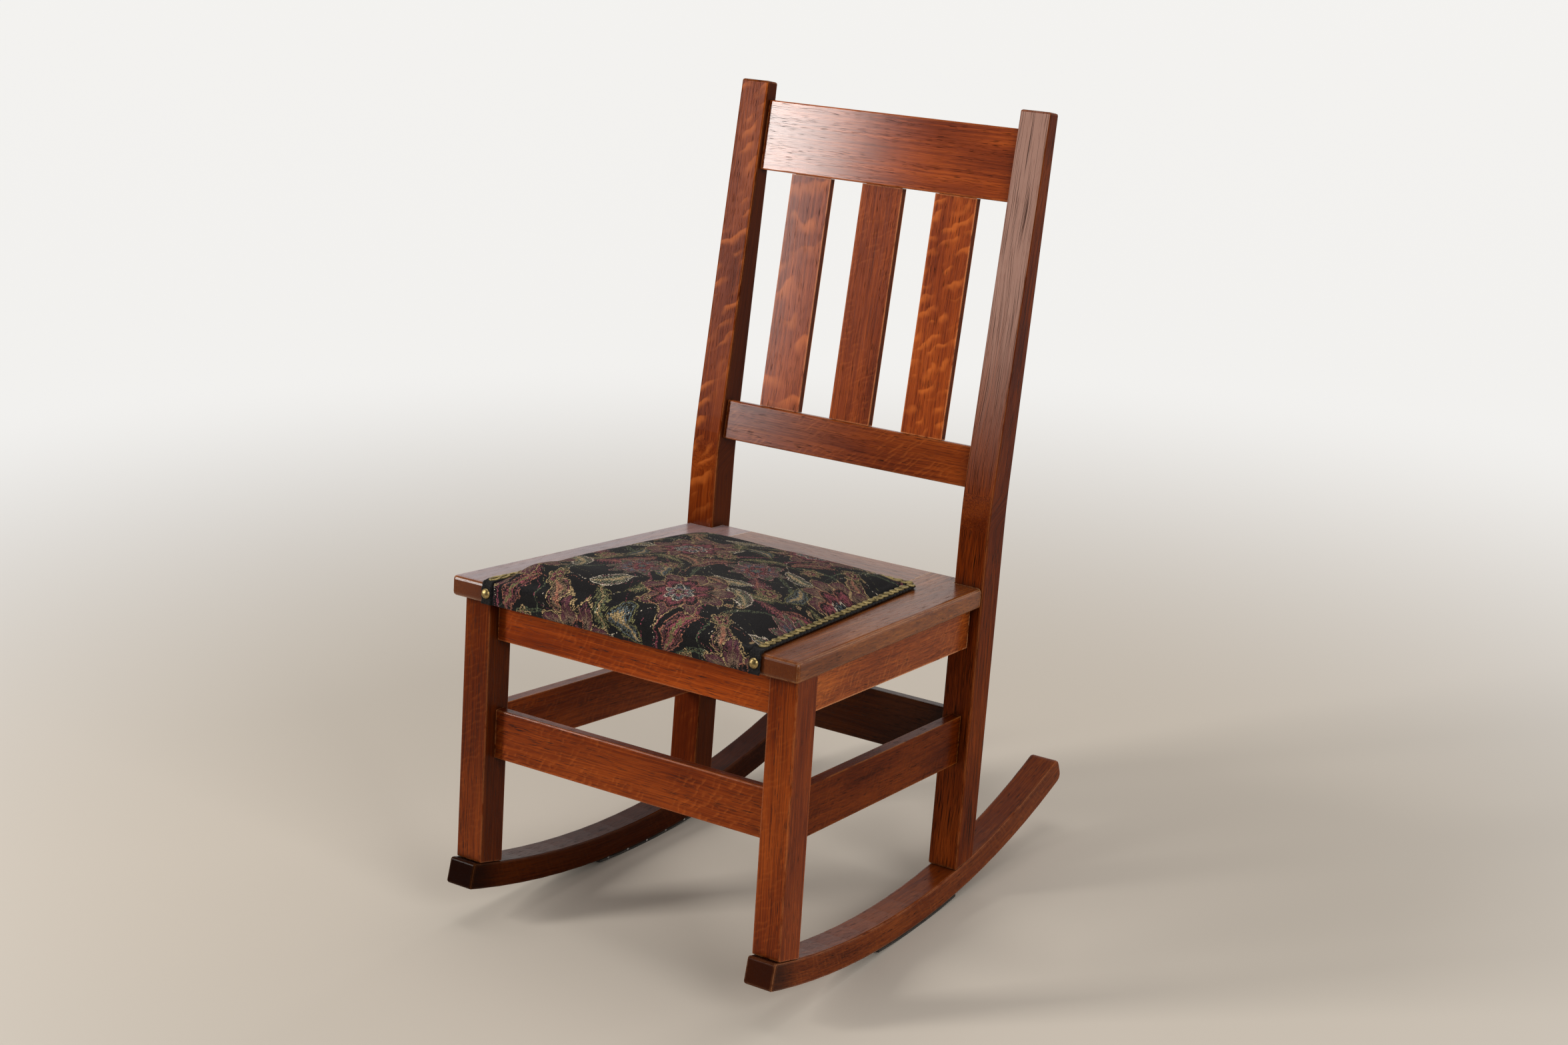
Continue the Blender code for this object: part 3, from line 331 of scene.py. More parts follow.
# The slats' sides are darker: a darker stain and painted shade.
SLAT = dict(grain="z", face="y", tilt=LEAN + RAKE, lacquer=1.10, stained_and_shaded_sides=0.75)
LONG_BOARD = dict(grain="y flat", face="z", tone=BOARD_TONE)
CROSS_BOARD = dict(grain="x flat", face="z")
ROCKER = dict(grain="arc", face="x", flecks=FAINT_FLECKS)
OAK_PIECES = {
    "front_apron": dict(CROSS_RAIL, flecks=FAINT_FLECKS, tone=1.25),
    "front_stretcher": dict(CROSS_RAIL, flecks=(0.28, 40, 7.0, 13.0), tone=0.90),
    "rear_apron": dict(CROSS_RAIL, flecks=FINE_FLECKS),
    # Painted shade: the rear stretcher's dark tone.
    "rear_stretcher": dict(CROSS_RAIL, flecks=FINE_FLECKS, tone=(0.18, 0.20, 0.18)),
    "side_apron_left": SIDE_RAIL,
    # Partly a painted sheen: the right side apron's pale tone.
    "side_apron_right": dict(SIDE_RAIL, lines=0.45, tone=(1.40, 1.80, 2.40)),
    "side_stretcher_left": dict(SIDE_RAIL, tone=0.80),
    "side_stretcher_right": dict(SIDE_RAIL, flecks=FAINT_FLECKS, tone=(0.52, 0.48, 0.30), lacquer=1.12),
    # The left leg's sides are darker: a darker stain and painted shade.
    "front_leg_left": dict(LEG, tone=0.60, stained_and_shaded_sides=0.5),
    "front_leg_right": dict(LEG, tone=0.85),
    # Painted shade darkens this post below the seat, and painted shade with a darker stain darkens its
    # sides.
    "back_post_left": dict(POST, flecks=(0.80, 38, 15.0, 34.0), tone=0.88, lacquer=1.10,
                           painted_light=(0.40, 0.32, 0.95, OAK_DEEP), stained_and_shaded_sides=0.75),
    # Painted sheen: the pale veil on this post's upper front.
    "back_post_right": dict(POST, lines=1.0, tone=0.65, lacquer=1.12,
                            painted_light=(0.40, 0.68, 1.15, OAK_PAINTED_SHEEN)),
    "crest_rail": dict(BACK_RAIL, tone=1.20, polish=(0.07, -0.14, 0.80)),
    "lower_back_rail": dict(BACK_RAIL, flecks=(0.32, 52, 5.0, 17.0), tone=0.80,
                            polish=(0.06, -0.15, 0.40)),
    "slat_1": dict(SLAT, flecks=(0.62, 24, 30.0, 46.0), tone=1.10, polish=(0.0, -0.12, 0.14)),
    "slat_2": dict(SLAT, flecks=FAINT_FLECKS, lines=0.4, tone=1.05, lacquer=1.11),
    "slat_3": dict(SLAT, flecks=(0.60, 32, 14.0, 24.0), tone=1.25),
    # Painted sheen: the grey veil on this board's top.
    "seat_board_left": dict(LONG_BOARD, lacquer=1.42, painted_light=(0.30, 0.34, 0.38, OAK_PAINTED_SHEEN)),
    "seat_board_right": dict(LONG_BOARD, lines=0.5, lacquer=1.30),
    "seat_board_rear": dict(CROSS_BOARD, tone=BOARD_TONE, lacquer=1.42),
    "seat_board_front": CROSS_BOARD,
    # Painted shade: the left rocker's dark tone.
    "rocker_left": dict(ROCKER, tone=(0.20, 0.20, 0.18), lacquer=1.12),
    "rocker_right": dict(ROCKER, tone=(0.72, 0.85, 1.10), lacquer=1.15),
}


def dress(node, material):
    for slot in NODES[node].material_slots:
        slot.material = material


def dress_oak():
    for index, (node, look) in enumerate(OAK_PIECES.items()):
        dress(node, oak(f"oak {node}", 1.0 + index * SEED_STEP, **look))


dress_oak()


def bare_wood():
    """Pale blocks and pegs that were never stained."""
    material, finish = new_finish("bare wood")
    spot = finish.place_mm()
    place = finish.split(spot)
    streak = finish.stretched(place, (40.0, 3.0, 3.0), 3.0, 0.6)
    fibre = finish.stretched(place, (15.0, 0.5, 0.5), 1.0)
    dirt = finish.noise(spot, 3.0, 0.6, 0.05)
    colour = finish.mix(streak, (0.36, 0.20, 0.085), (0.56, 0.35, 0.17))
    colour = finish.mix(finish.step(dirt, 0.5, 0.75) * 0.5, colour, (0.14, 0.075, 0.035))
    finish.set(Base_Color=colour, Roughness=0.62 + 0.15 * fibre, Normal=finish.bump(fibre, 0.2, 0.0004))
    return material


def metal(name, bright, dull, roughness, patch_size):
    """Old metal, dulled in patches."""
    material, finish = new_finish(name)
    spot = finish.place()
    patch = finish.noise(spot, 3.0, 0.6, 1.0 / patch_size)
    fine = finish.noise(spot, 2.0, 0.5, 6.0 / patch_size)
    share = finish.step(patch * 0.7 + fine * 0.3, 0.40, 0.66)
    colour = finish.mix(share, bright, dull)
    finish.set(Base_Color=colour, Metallic=1.0, Roughness=roughness + 0.28 * share,
               Normal=finish.bump(patch + fine, 0.25, 0.0004))
    return material


BRASS = metal("antique brass", (0.52, 0.38, 0.16), (0.16, 0.105, 0.040), 0.28, 0.004)
STEEL = metal("dull steel", (0.42, 0.41, 0.40), (0.12, 0.09, 0.07), 0.35, 0.008)


def strip_hide():
    """Black hide strip under each rocker, scuffed where it meets the floor."""
    material, finish = new_finish("black hide")
    spot = finish.place()
    pebble = finish.node("TexVoronoi", {"feature": "DISTANCE_TO_EDGE"}, {"Vector": spot, "Scale": 900.0})
    scuff = finish.step(finish.noise(spot, 4.0, 0.65, 90.0), 0.5, 0.72)
    colour = finish.mix(scuff, (0.010, 0.009, 0.008), (0.055, 0.046, 0.038))
    finish.set(Base_Color=colour, Roughness=0.5 + 0.3 * scuff, Normal=finish.bump(pebble, 0.3, 0.0003))
    return material


def dress_fixings():
    hide = strip_hide()
    bare = bare_wood()
    for node in NODES:
        if node.startswith("rocker_strip"):
            dress(node, hide)
        elif node.startswith(("corner_block", "leg_dowel", "post_dowel")):
            dress(node, bare)
        elif node.startswith("seat_screw"):
            dress(node, STEEL)


dress_fixings()

# The upholstery's lines, read from the nodes that it stands for
BOARD_LOW, BOARD_HIGH = square_box("seat_board_front")
TRIM_LOW, TRIM_HIGH = square_box("gimp_rear")
SIDE_LOW, SIDE_HIGH = square_box("gimp_right")
SEAT_FRONT = BOARD_LOW.y
SEAT_BOTTOM = BOARD_LOW.z
SEAT_TOP = BOARD_HIGH.z
GIMP_WIDTH = TRIM_HIGH.y - TRIM_LOW.y
GIMP_THICK = TRIM_HIGH.z - TRIM_LOW.z
PAD_REAR = TRIM_HIGH.y
PAD_REAR_HALF = TRIM_HIGH.x
PAD_FRONT_HALF = SIDE_HIGH.x
GIMP_FRONT = SIDE_LOW.y
CLEAR = 0.0003
CROWN = 0.0345
CROWN_RUN = 0.150
NOSE_RUN = 0.110
LEFT_NOSE = 0.26
FULLER_RUN = 0.055
LEFT_SHOULDER = 0.0040
SHOULDER_RUN = 0.045
NOSE_BULGE = 0.0025
BOARD_ROUND = 0.004
SEAM_LAP = 0.004
CLOTH_LIFT = 0.0015
STRAP_TOP = 0.0036
STRAP_INSET = 0.006
LINING_LIFT = 0.0004
FULLEST_LEFT = 0.13
UNEVEN = 0.05
UNEVEN_PER_METRE = 22
UNEVEN_SLICE = 3.7
PAD_COLUMNS = 28
PAD_ROWS = 52


def pad_edge(y):
    """Half width of the upholstery at a depth, out to the braid's edge."""
    share = (y - SEAT_FRONT) / (PAD_REAR - SEAT_FRONT)
    return PAD_FRONT_HALF + (PAD_REAR_HALF - PAD_FRONT_HALF) * max(share, 0.0)


def held_to(value, limit=1.0):
    """A value kept between nothing and a limit."""
    return min(max(value, 0.0), limit)


def rise(distance, run):
    """Share of the crown reached some way in from a seam: steep at first, then easing off."""
    return sin(pi / 2 * sqrt(held_to(distance / run)))


WRAP = BOARD_ROUND + CLEAR
TOP_RUN = PAD_REAR - SEAM_LAP - SEAT_FRONT - BOARD_ROUND
WRAP_RUN = WRAP * pi / 2
DROP_RUN = SEAT_TOP - SEAT_BOTTOM - BOARD_ROUND - CLEAR
FULL_RUN = TOP_RUN + WRAP_RUN + DROP_RUN
SEAM = GIMP_WIDTH - SEAM_LAP


def cloth_path(run):
    """Side-view point and outward direction along the cloth, from its rear edge to below the front."""
    if run <= TOP_RUN:
        return Vector((PAD_REAR - SEAM_LAP - run, SEAT_TOP)), Vector((0, 1))
    if run <= TOP_RUN + WRAP_RUN:
        turn = (run - TOP_RUN) / WRAP
        out = Vector((-sin(turn), cos(turn)))
        return Vector((SEAT_FRONT + BOARD_ROUND, SEAT_TOP - BOARD_ROUND)) + out * BOARD_ROUND, out
    drop = run - TOP_RUN - WRAP_RUN
    return Vector((SEAT_FRONT, SEAT_TOP - BOARD_ROUND - drop)), Vector((-1, 0))


def from_seams(side, rear):
    """Distance in from two seams that meet at a corner: less where both are near."""
    if min(side, rear) <= 0:
        return 0.0
    return side * rear / sqrt(side * side + rear * rear)


def stuffed_height(x, run, inward):
    """How far the stuffing holds the cloth off the boards, with the slight unevenness of hair."""
    fuller = held_to(-x / FULLEST_LEFT)
    back = held_to((TOP_RUN - run) / FULLER_RUN)
    nose = min(rise(TOP_RUN + WRAP_RUN - run, NOSE_RUN) + LEFT_NOSE * fuller * sin(pi * back), 1.0)
    lip = rise(FULL_RUN - run, DROP_RUN)
    hair = Vector((x * UNEVEN_PER_METRE, run * UNEVEN_PER_METRE, UNEVEN_SLICE))
    uneven = 1.0 + UNEVEN * lumps.noise(hair)
    shoulder = LEFT_SHOULDER * fuller * sin(pi * min(inward / SHOULDER_RUN, 1.0)) * nose
    return rise(inward, CROWN_RUN) * (CROWN * nose * uneven + NOSE_BULGE * lip * (1 - nose)) + shoulder


def lining_height(run, inward):
    """The lining lies on the boards at its edges and on the straps inside them."""
    return STRAP_TOP * held_to(min(inward, TOP_RUN - run) / STRAP_INSET)


def eased_in(start, end, steps):
    """Distances from a seam to the middle, closer together by the seam."""
    return [start + (end - start) * (k / steps) ** 1.5 for k in range(steps + 1)]


def pad_rows(steps):
    """Runs of the cloth's rows, closer together by both seams and round the front edge."""
    rows = [0.0, SEAM / 2]
    rows += [SEAM + (TOP_RUN - SEAM) * (0.5 - 0.5 * cos(pi * k / steps)) for k in range(steps + 1)]
    rows += [TOP_RUN + WRAP_RUN * k / 4 for k in (1, 2, 3)]
    rows += [TOP_RUN + WRAP_RUN + DROP_RUN * k / 5 for k in range(6)]
    return rows


def mesh_of(bm, name):
    mesh = bpy.data.meshes.new(name)
    bm.to_mesh(mesh)
    bm.free()
    return mesh


def pad_mesh():
    """The stuffed seat as one closed form, cloth above and lining below, and which points are held."""
    columns = 2 * PAD_COLUMNS + 4
    rows = pad_rows(PAD_ROWS)
    bm = bmesh.new()
    bmesh.ops.create_grid(bm, x_segments=columns, y_segments=len(rows) - 1, size=1)
    under = bmesh.ops.extrude_face_region(bm, geom=bm.faces[:])
    lower = {vert for vert in under["geom"] if isinstance(vert, bmesh.types.BMVert)}
    cloth = bm.loops.layers.uv.new("cloth")
    flat = {}
    held = []
    bm.verts.index_update()
    for vert in bm.verts:
        column = round((vert.co.x + 1) / 2 * columns)
        run = rows[round((vert.co.y + 1) / 2 * (len(rows) - 1))]
        point, out = cloth_path(run)
        edge = pad_edge(point.x) - SEAM_LAP
        inward = min(column, columns - column)
        distances = [0.0, SEAM / 2] + eased_in(SEAM, edge, PAD_COLUMNS)
        x = edge - distances[inward] if 2 * column > columns else distances[inward] - edge
        inside = from_seams(edge - abs(x) - SEAM, run - SEAM)
        if vert in lower:
            height = lining_height(run, inside) + LINING_LIFT
        else:
            height = stuffed_height(x, run, inside) + CLOTH_LIFT
        y, z = point + out * height
        flat[vert] = (x * MM, run * MM)
        vert.co = (x, y, z)
        if vert in lower or inward <= 2 or run <= SEAM or run >= FULL_RUN - DROP_RUN / 2:
            held.append(vert.index)
    for face in bm.faces:
        if all(vert in lower for vert in face.verts):
            face.material_index = 1
        face.smooth = True
        for loop in face.loops:
            loop[cloth].uv = flat[loop.vert]
    bmesh.ops.recalc_face_normals(bm, faces=bm.faces)
    return mesh_of(bm, "seat_pad"), held


def add_object(name, data):
    made = bpy.data.objects.new(name, data)
    SCENE.collection.objects.link(made)
    return made


def add_piece(name, mesh, *materials):
    """A piece of the chair, riding on its one body."""
    piece = add_object(name, mesh)
    for material in materials:
        mesh.materials.append(material)
    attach(piece, "root")
    return piece


PAD_GIVE = 0.0045
SWELL_FRAMES = 20
STUFFING = dict(quality=6, mass=0.3, tension_stiffness=25, compression_stiffness=25, shear_stiffness=12,
                bending_stiffness=2, use_pressure=True, uniform_pressure_force=4)


def swell(piece, held):
    """Lets the stuffing press the cloth out between its seams, within a few millimetres."""
    group = piece.vertex_groups.new(name="held")
    group.add(held, 1.0, "REPLACE")
    cloth = piece.modifiers.new("stuffing", "CLOTH")
    for name, value in STUFFING.items():
        setattr(cloth.settings, name, value)
    cloth.settings.vertex_group_mass = group.name
    cloth.settings.effector_weights.gravity = 0
    cloth.point_cache.frame_start = 1
    cloth.point_cache.frame_end = SWELL_FRAMES
    for number in range(1, SWELL_FRAMES + 1):
        SCENE.frame_set(number)
    shape = piece.evaluated_get(bpy.context.evaluated_depsgraph_get())
    moved = [vert.co.copy() for vert in shape.data.vertices]
    piece.modifiers.remove(cloth)
    SCENE.frame_set(1)
    outward = [vert.normal.copy() for vert in piece.data.vertices]
    for vert, out, place in zip(piece.data.vertices, outward, moved):
        vert.co += out * held_to((place - vert.co).dot(out), PAD_GIVE)
    piece.vertex_groups.remove(group)


# Tapestry threads, and the motifs drawn in them: five colours from the middle out, then the outline
INK = (0.0055, 0.0050, 0.0056)
WINE = (0.300, 0.018, 0.050)
PLUM = (0.130, 0.022, 0.040)
GOLD = (0.500, 0.315, 0.095)
OLIVE = (0.215, 0.195, 0.052)
MOSS = (0.095, 0.125, 0.060)
SLATE = (0.090, 0.130, 0.160)
ROSE = (0.520, 0.210, 0.165)
CREAM = (0.820, 0.680, 0.480)
RUST = (0.430, 0.105, 0.036)
EARTH = (0.200, 0.105, 0.062)
DASH = 1.05
ROW = 0.60
STAGGER = 0.37
REPEAT = (196.0, 224.0)
SWAY = 17.0
MUTED = 0.82
BANDS = (0.0, 0.18, 0.38, 0.58, 0.78)
OUTLINE = 1.3
OUTLINE_GAP = 0.9


def new_motif(name, numbers):
    """A motif that is drawn many times over: its node group, and what it is given, by name."""
    tree = bpy.data.node_groups.new(name, "ShaderNodeTree")
    kinds = {"cell": "Vector", "ground": "Color", "centre": "Vector", "stray": "Float"}
    kinds.update({number: "Float" for number in numbers})
    kinds.update({f"thread {k}": "Color" for k in range(len(BANDS))}, outline="Color")
    for given, kind in kinds.items():
        tree.interface.new_socket(given, in_out="INPUT", socket_type="NodeSocket" + kind)
    tree.interface.new_socket("cloth", in_out="OUTPUT", socket_type="NodeSocketColor")
    finish = Finish(tree)
    first = finish.node("GroupInput")
    return finish, {given: first.output(given) for given in kinds}


def motif_place(finish, given):
    """A motif's own coordinates in millimetres, over and over across the cloth."""
    moved = finish.vector_math("SUBTRACT", given["cell"], given["centre"])
    high = (REPEAT[0] / 2, REPEAT[1] / 2, 1.0)
    low = tuple(-value for value in high)
    wrapped = finish.vector_math("WRAP", moved, high, low)
    sockets = {"Vector": wrapped, "Angle": given["turn"] * (-pi / 180)}
    return finish.node("VectorRotate", {"rotation_type": "Z_AXIS"}, sockets)


def draw_bands(finish, given, share, inset, vein):
    """Lays the motif in bands of thread, with veins and a frayed outline set off by a dark gap."""
    strayed = share + given["stray"] * 0.20
    colour = given["thread 0"]
    for k, limit in enumerate(BANDS[1:], 1):
        colour = finish.mix(strayed > limit, colour, given[f"thread {k}"])
    frayed = inset + given["stray"] * 1.3
    colour = finish.mix(vein, colour, given["outline"])
    colour = finish.mix(frayed < OUTLINE + OUTLINE_GAP, colour, INK)
    colour = finish.mix(frayed < OUTLINE, colour, given["outline"])
    colour = finish.mix(frayed > 0.0, given["ground"], colour)
    finish.node("GroupOutput", None, {"cloth": colour})
    return finish.tree


def bloom_motif():
    """A round flower of several lobes, in bands from its eye to its rim."""
    finish, given = new_motif("bloom", ("turn", "size", "lobes", "depth"))
    spot = motif_place(finish, given)
    x, y, _ = finish.split(spot)
    reach = finish.length(spot)
    angle = finish.math("ARCTAN2", y, x) * given["lobes"]
    edge = (1 - given["depth"] + finish.math("COSINE", angle) * given["depth"]) * given["size"]
    share = reach / edge
    hatch = (finish.math("COSINE", angle * 4.0) > 0.80) * (share > 0.40) * 0.3
    divide = (finish.math("COSINE", angle) < -0.94) * (share > 0.34)
    return draw_bands(finish, given, share, edge - reach, finish.math("MAXIMUM", hatch, divide))


def leaf_motif():
    """A pointed leaf or, when narrow, a stem, bowed to one side, in bands from its rib to its edge."""
    finish, given = new_motif("leaf", ("turn", "long", "wide", "bend", "teeth"))
    x, y, _ = finish.split(motif_place(finish, given))
    share = x / given["long"] + 0.5
    bow = share * (1 - share) * 4.0
    off = abs(y + (bow - 0.5) * given["bend"])
    comb = finish.math("SINE", (x - off * 0.9) * (2 * pi / 3.6))
    half = finish.math("MAXIMUM", bow * given["wide"], 0.01) * (1 - given["teeth"] * (1 - comb))
    return draw_bands(finish, given, off / half, half - off, (comb > 0.55) * 0.4)


PEONY = (WINE, MOSS, INK, EARTH, PLUM, GOLD)
PETALS = (OLIVE, SLATE, INK, WINE, INK, RUST)
HEART = (GOLD, INK, WINE, SLATE, INK, CREAM)
DAISY = (GOLD, INK, SLATE, PLUM, MOSS, ROSE)
ROSETTE = (GOLD, INK, WINE, OLIVE, INK, GOLD)
GREEN_LEAF = (GOLD, MOSS, INK, MOSS, WINE, CREAM)
RED_LEAF = (OLIVE, WINE, INK, PLUM, EARTH, RUST)
BLUE_LEAF = (GOLD, SLATE, INK, SLATE, MOSS, OLIVE)
RUST_LEAF = (RUST, EARTH, INK, PLUM, WINE, GOLD)
STEM = (RUST, RUST, EARTH, RUST, RUST, WINE)
VINE = (OLIVE, OLIVE, MOSS, OLIVE, OLIVE, MOSS)
FERN = (GOLD, MOSS, MOSS, OLIVE, MOSS, OLIVE)
SPRIG = (RUST, PLUM, EARTH, WINE, PLUM, WINE)
BERRY = (CREAM, RUST, RUST, WINE, WINE, GOLD)

STEMS = [
    ((40, 74), 64, 122, 2.6, 24, STEM), ((124, 62), 118, 108, 2.4, -22, VINE),
    ((74, 176), 18, 136, 2.6, 28, VINE), ((160, 156), 82, 116, 2.4, -26, STEM),
    ((8, 138), 140, 96, 2.2, 18, STEM), ((102, 118), 168, 94, 2.2, -16, VINE),
    ((180, 40), 30, 84, 2.2, 18, STEM), ((30, 214), 74, 88, 2.2, -18, VINE),
]
FERNS = [
    ((14, 56), 112, 60, 10, 8, FERN), ((92, 204), 34, 64, 10, -9, SPRIG), ((182, 100), 60, 56, 9, 7, FERN),
    ((134, 20), 8, 54, 9, 7, SPRIG), ((46, 134), 152, 50, 9, -7, FERN), ((120, 138), 96, 46, 8, 6, FERN),
    ((84, 66), 74, 44, 8, -6, SPRIG), ((166, 196), 14, 48, 8, 6, FERN), ((110, 6), 150, 44, 8, 6, FERN),
]
LEAVES = [
    ((97, 28), 42, 54, 11, 9, GREEN_LEAF), ((80, 100), 128, 48, 10, -8, RED_LEAF),
    ((18, 104), 20, 48, 10, 8, BLUE_LEAF), ((134, 92), 28, 48, 10, -10, RUST_LEAF),
    ((170, 66), 146, 48, 11, 8, GREEN_LEAF), ((122, 190), 72, 50, 10, 9, BLUE_LEAF),
    ((16, 186), 108, 54, 11, -9, RED_LEAF), ((66, 218), 168, 46, 10, 8, GREEN_LEAF),
    ((188, 190), 32, 46, 10, 8, RUST_LEAF), ((98, 148), 12, 42, 9, -6, GREEN_LEAF),
    ((150, 220), 128, 44, 9, 7, RED_LEAF), ((2, 16), 64, 46, 9, -7, BLUE_LEAF),
    ((56, 8), 4, 40, 8, 6, RUST_LEAF), ((194, 132), 104, 42, 9, -6, GREEN_LEAF),
]
BLOOMS = [
    ((54, 50), 10, 48, 9, 0.12, PEONY), ((50, 54), 30, 34, 8, 0.14, PETALS),
    ((48, 56), 0, 18, 6, 0.18, HEART), ((154, 140), 40, 50, 10, 0.11, PEONY),
    ((158, 144), 12, 36, 7, 0.16, PETALS), ((160, 146), 0, 19, 7, 0.18, HEART),
    ((58, 168), 24, 32, 8, 0.16, DAISY), ((60, 170), 10, 16, 7, 0.16, PETALS),
    ((168, 22), 0, 30, 9, 0.16, DAISY), ((170, 20), 20, 15, 6, 0.18, PETALS),
    ((114, 78), 30, 13, 7, 0.16, ROSETTE), ((10, 150), 12, 13, 8, 0.16, ROSETTE),
    ((108, 216), 50, 15, 7, 0.16, ROSETTE), ((190, 222), 8, 13, 8, 0.16, ROSETTE),
    ((92, 122), 0, 12, 7, 0.16, ROSETTE),
]
BERRIES = [(104, 52), (112, 46), (20, 84), (28, 78), (138, 206), (146, 200), (196, 164)]
BLOOMS += [(place, 0, 4, 5, 0.1, BERRY) for place in BERRIES]


def tapestry():
    """A woven floral on a black ground, drawn in slanting threads that let the ground through."""
    material, finish = new_finish("tapestry")
    cloth = finish.node("UVMap", {"uv_map": "cloth"})
    s, t, _ = finish.split(cloth)
    row = finish.math("FLOOR", t / ROW)
    shifted = s + row * STAGGER
    column = finish.math("FLOOR", shifted / DASH)
    middle = finish.vector((column + 0.5) * DASH - row * STAGGER, (row + 0.5) * ROW, 0.0)
    wind = {"Vector": middle, "Scale": 0.045, "Detail": 3.0, "Roughness": 0.6}
    sway = finish.node("TexNoise", None, wind, "Color")
    cell = finish.vector_math("MULTIPLY_ADD", sway, (SWAY, SWAY, 0.0), middle)
    stitch = {"Vector": finish.vector(column, row, 0.0)}
    chance = finish.node("TexWhiteNoise", {"noise_dimensions": "2D"}, stitch, "Color")
    stray, skipped, tone = finish.split(chance)
    stray = stray - 0.5

    drawn = INK

    def draw(motif, centre, threads, **numbers):
        given = {"cell": cell, "ground": drawn, "centre": (*centre, 0.0), "stray": stray}
        given.update({name: float(number) for name, number in numbers.items()})
        given.update({f"thread {k}": thread for k, thread in enumerate(threads[:-1])}, outline=threads[-1])
        return finish.node("Group", {"node_tree": motif}, given)

    leaf, bloom = leaf_motif(), bloom_motif()
    for blades, teeth in ((STEMS, 0.0), (FERNS, 0.34), (LEAVES, 0.0)):
        for centre, turn, long, wide, bend, threads in blades:
            drawn = draw(leaf, centre, threads, turn=turn, long=long, wide=wide, bend=bend, teeth=teeth)
    for centre, turn, size, lobes, depth, threads in BLOOMS:
        drawn = draw(bloom, centre, threads, turn=turn, size=size, lobes=lobes, depth=depth)

    across = 0.5 - abs(finish.math("FRACT", shifted / DASH) - 0.5)
    along = 0.5 - abs(finish.math("FRACT", t / ROW) - 0.5)
    dash = 0.25 + 0.75 * finish.step(across, 0.0, 0.22) * finish.step(along, 0.0, 0.30)
    fuzz = finish.noise(cloth, 3.0, 0.65, 1.3)
    shown = dash * finish.step(skipped + (fuzz - 0.5) * 0.8, 0.06, 0.22)
    ground = finish.mix(finish.step(fuzz, 0.46, 0.74), INK, (0.042, 0.037, 0.036))
    bright = 0.55 + 0.8 * tone
    drawn = finish.node("HueSaturation", None, {"Color": drawn, "Saturation": MUTED})
    colour = finish.mix(1.0, drawn, finish.vector(bright, bright, bright), "MULTIPLY")
    colour = finish.mix(shown, ground, colour)
    relief = dash * 0.35 + fuzz * 0.9
    finish.set(Base_Color=colour, Roughness=0.86 + 0.12 * fuzz, Specular_IOR_Level=0.12, Sheen_Weight=0.03,
               Sheen_Roughness=0.5, Normal=finish.bump(relief, 0.6, 0.0007))
    return material


def hessian(name, warp, weft, pitch):
    """Coarse plain weave for the lining and the webbing."""
    material, finish = new_finish(name)
    spot = finish.place_mm()
    x, y, _ = finish.split(spot)
    up = finish.math("SINE", x * (2 * pi / pitch))
    over = finish.math("SINE", y * (2 * pi / pitch))
    weave = up * over
    fuzz = finish.noise(spot, 3.0, 0.6, 0.6)
    colour = finish.mix(finish.step(weave + (fuzz - 0.5) * 1.5, -0.4, 0.4), warp, weft)
    finish.set(Base_Color=colour, Roughness=0.9, Specular_IOR_Level=0.2,
               Normal=finish.bump(weave * 0.6 + fuzz * 0.5, 0.5, 0.0007))
    return material


def make_pad():
    mesh, held = pad_mesh()
    lining = hessian("hessian lining", (0.20, 0.135, 0.065), (0.31, 0.22, 0.115), 1.6)
    pad = add_piece("seat_pad", mesh, tapestry(), lining)
    swell(pad, held)
    mesh.transform(SQUARE)
    fine = pad.modifiers.new("fine cloth", "SUBSURF")
    fine.levels = 1
    fine.render_levels = 1
    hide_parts("seat_cover", "seat_padding")


make_pad()

# Gimp round the seat: black braid with a chain of gilt loops, and a nail through each front end
CORNER = 0.010
BRAID_STEP = 0.0010
SCALLOP = 0.0065
LOOP_PITCH = 0.0112
LOOP_HALF = (0.0060, 0.0030)
CORD = 0.00130
CORD_FLAT = 0.85
LOOP_LIFT = 0.0008
LOOP_VARY = (0.95, 1.06)
LOOP_SKEW = 0.12
LOOP_SIDES = 26
CORD_SIDES = 8
FRONT_ROUND = 0.0055
BRAID_CLEAR = 0.0005
BRAID_WIDE = (0.95, 0.055)
BRAID_HIGH = (0.86, 0.14)
BRAID_HALF = [(0.0, 0.48), (0.30, 0.50), (0.62, 0.70), (0.78, 0.95), (0.92, 0.80), (1.0, 0.40), (1.0, 0.0)]


def trim_line():
    """Points and outward directions along the braid's middle, from one front end to the other."""
    inset = GIMP_WIDTH / 2
    top = TRIM_LOW.z
    face = GIMP_FRONT + GIMP_THICK

    def side_x(y):
        return pad_edge(y) - inset

    x = side_x(SEAT_FRONT)
    bottom = SEAT_BOTTOM + BRAID_CLEAR
    drop = top - FRONT_ROUND - bottom
    half = [(Vector((x, face, bottom + drop * k / 5)), Vector((0, -1, 0))) for k in range(6)]
    hub = Vector((x, face + FRONT_ROUND, top - FRONT_ROUND))
    for k in range(1, 6):
        turn = pi / 2 * k / 5
        out = Vector((0, -cos(turn), sin(turn)))
        half.append((hub + out * FRONT_ROUND, out))
    up = Vector((0, 0, 1))
    rear = PAD_REAR - inset
    start = face + FRONT_ROUND
    for k in range(1, 21):
        y = start + (rear - CORNER - start) * k / 20
        half.append((Vector((side_x(y), y, top)), up))
    hub = Vector((side_x(rear - CORNER) - CORNER, rear - CORNER, top))
    for k in range(1, 9):
        turn = pi / 2 * k / 8
        half.append((hub + Vector((cos(turn), sin(turn), 0)) * CORNER, up))
    whole = [(Vector((-p.x, p.y, p.z)), Vector((-n.x, n.y, n.z))) for p, n in half]
    return whole + list(reversed(half))


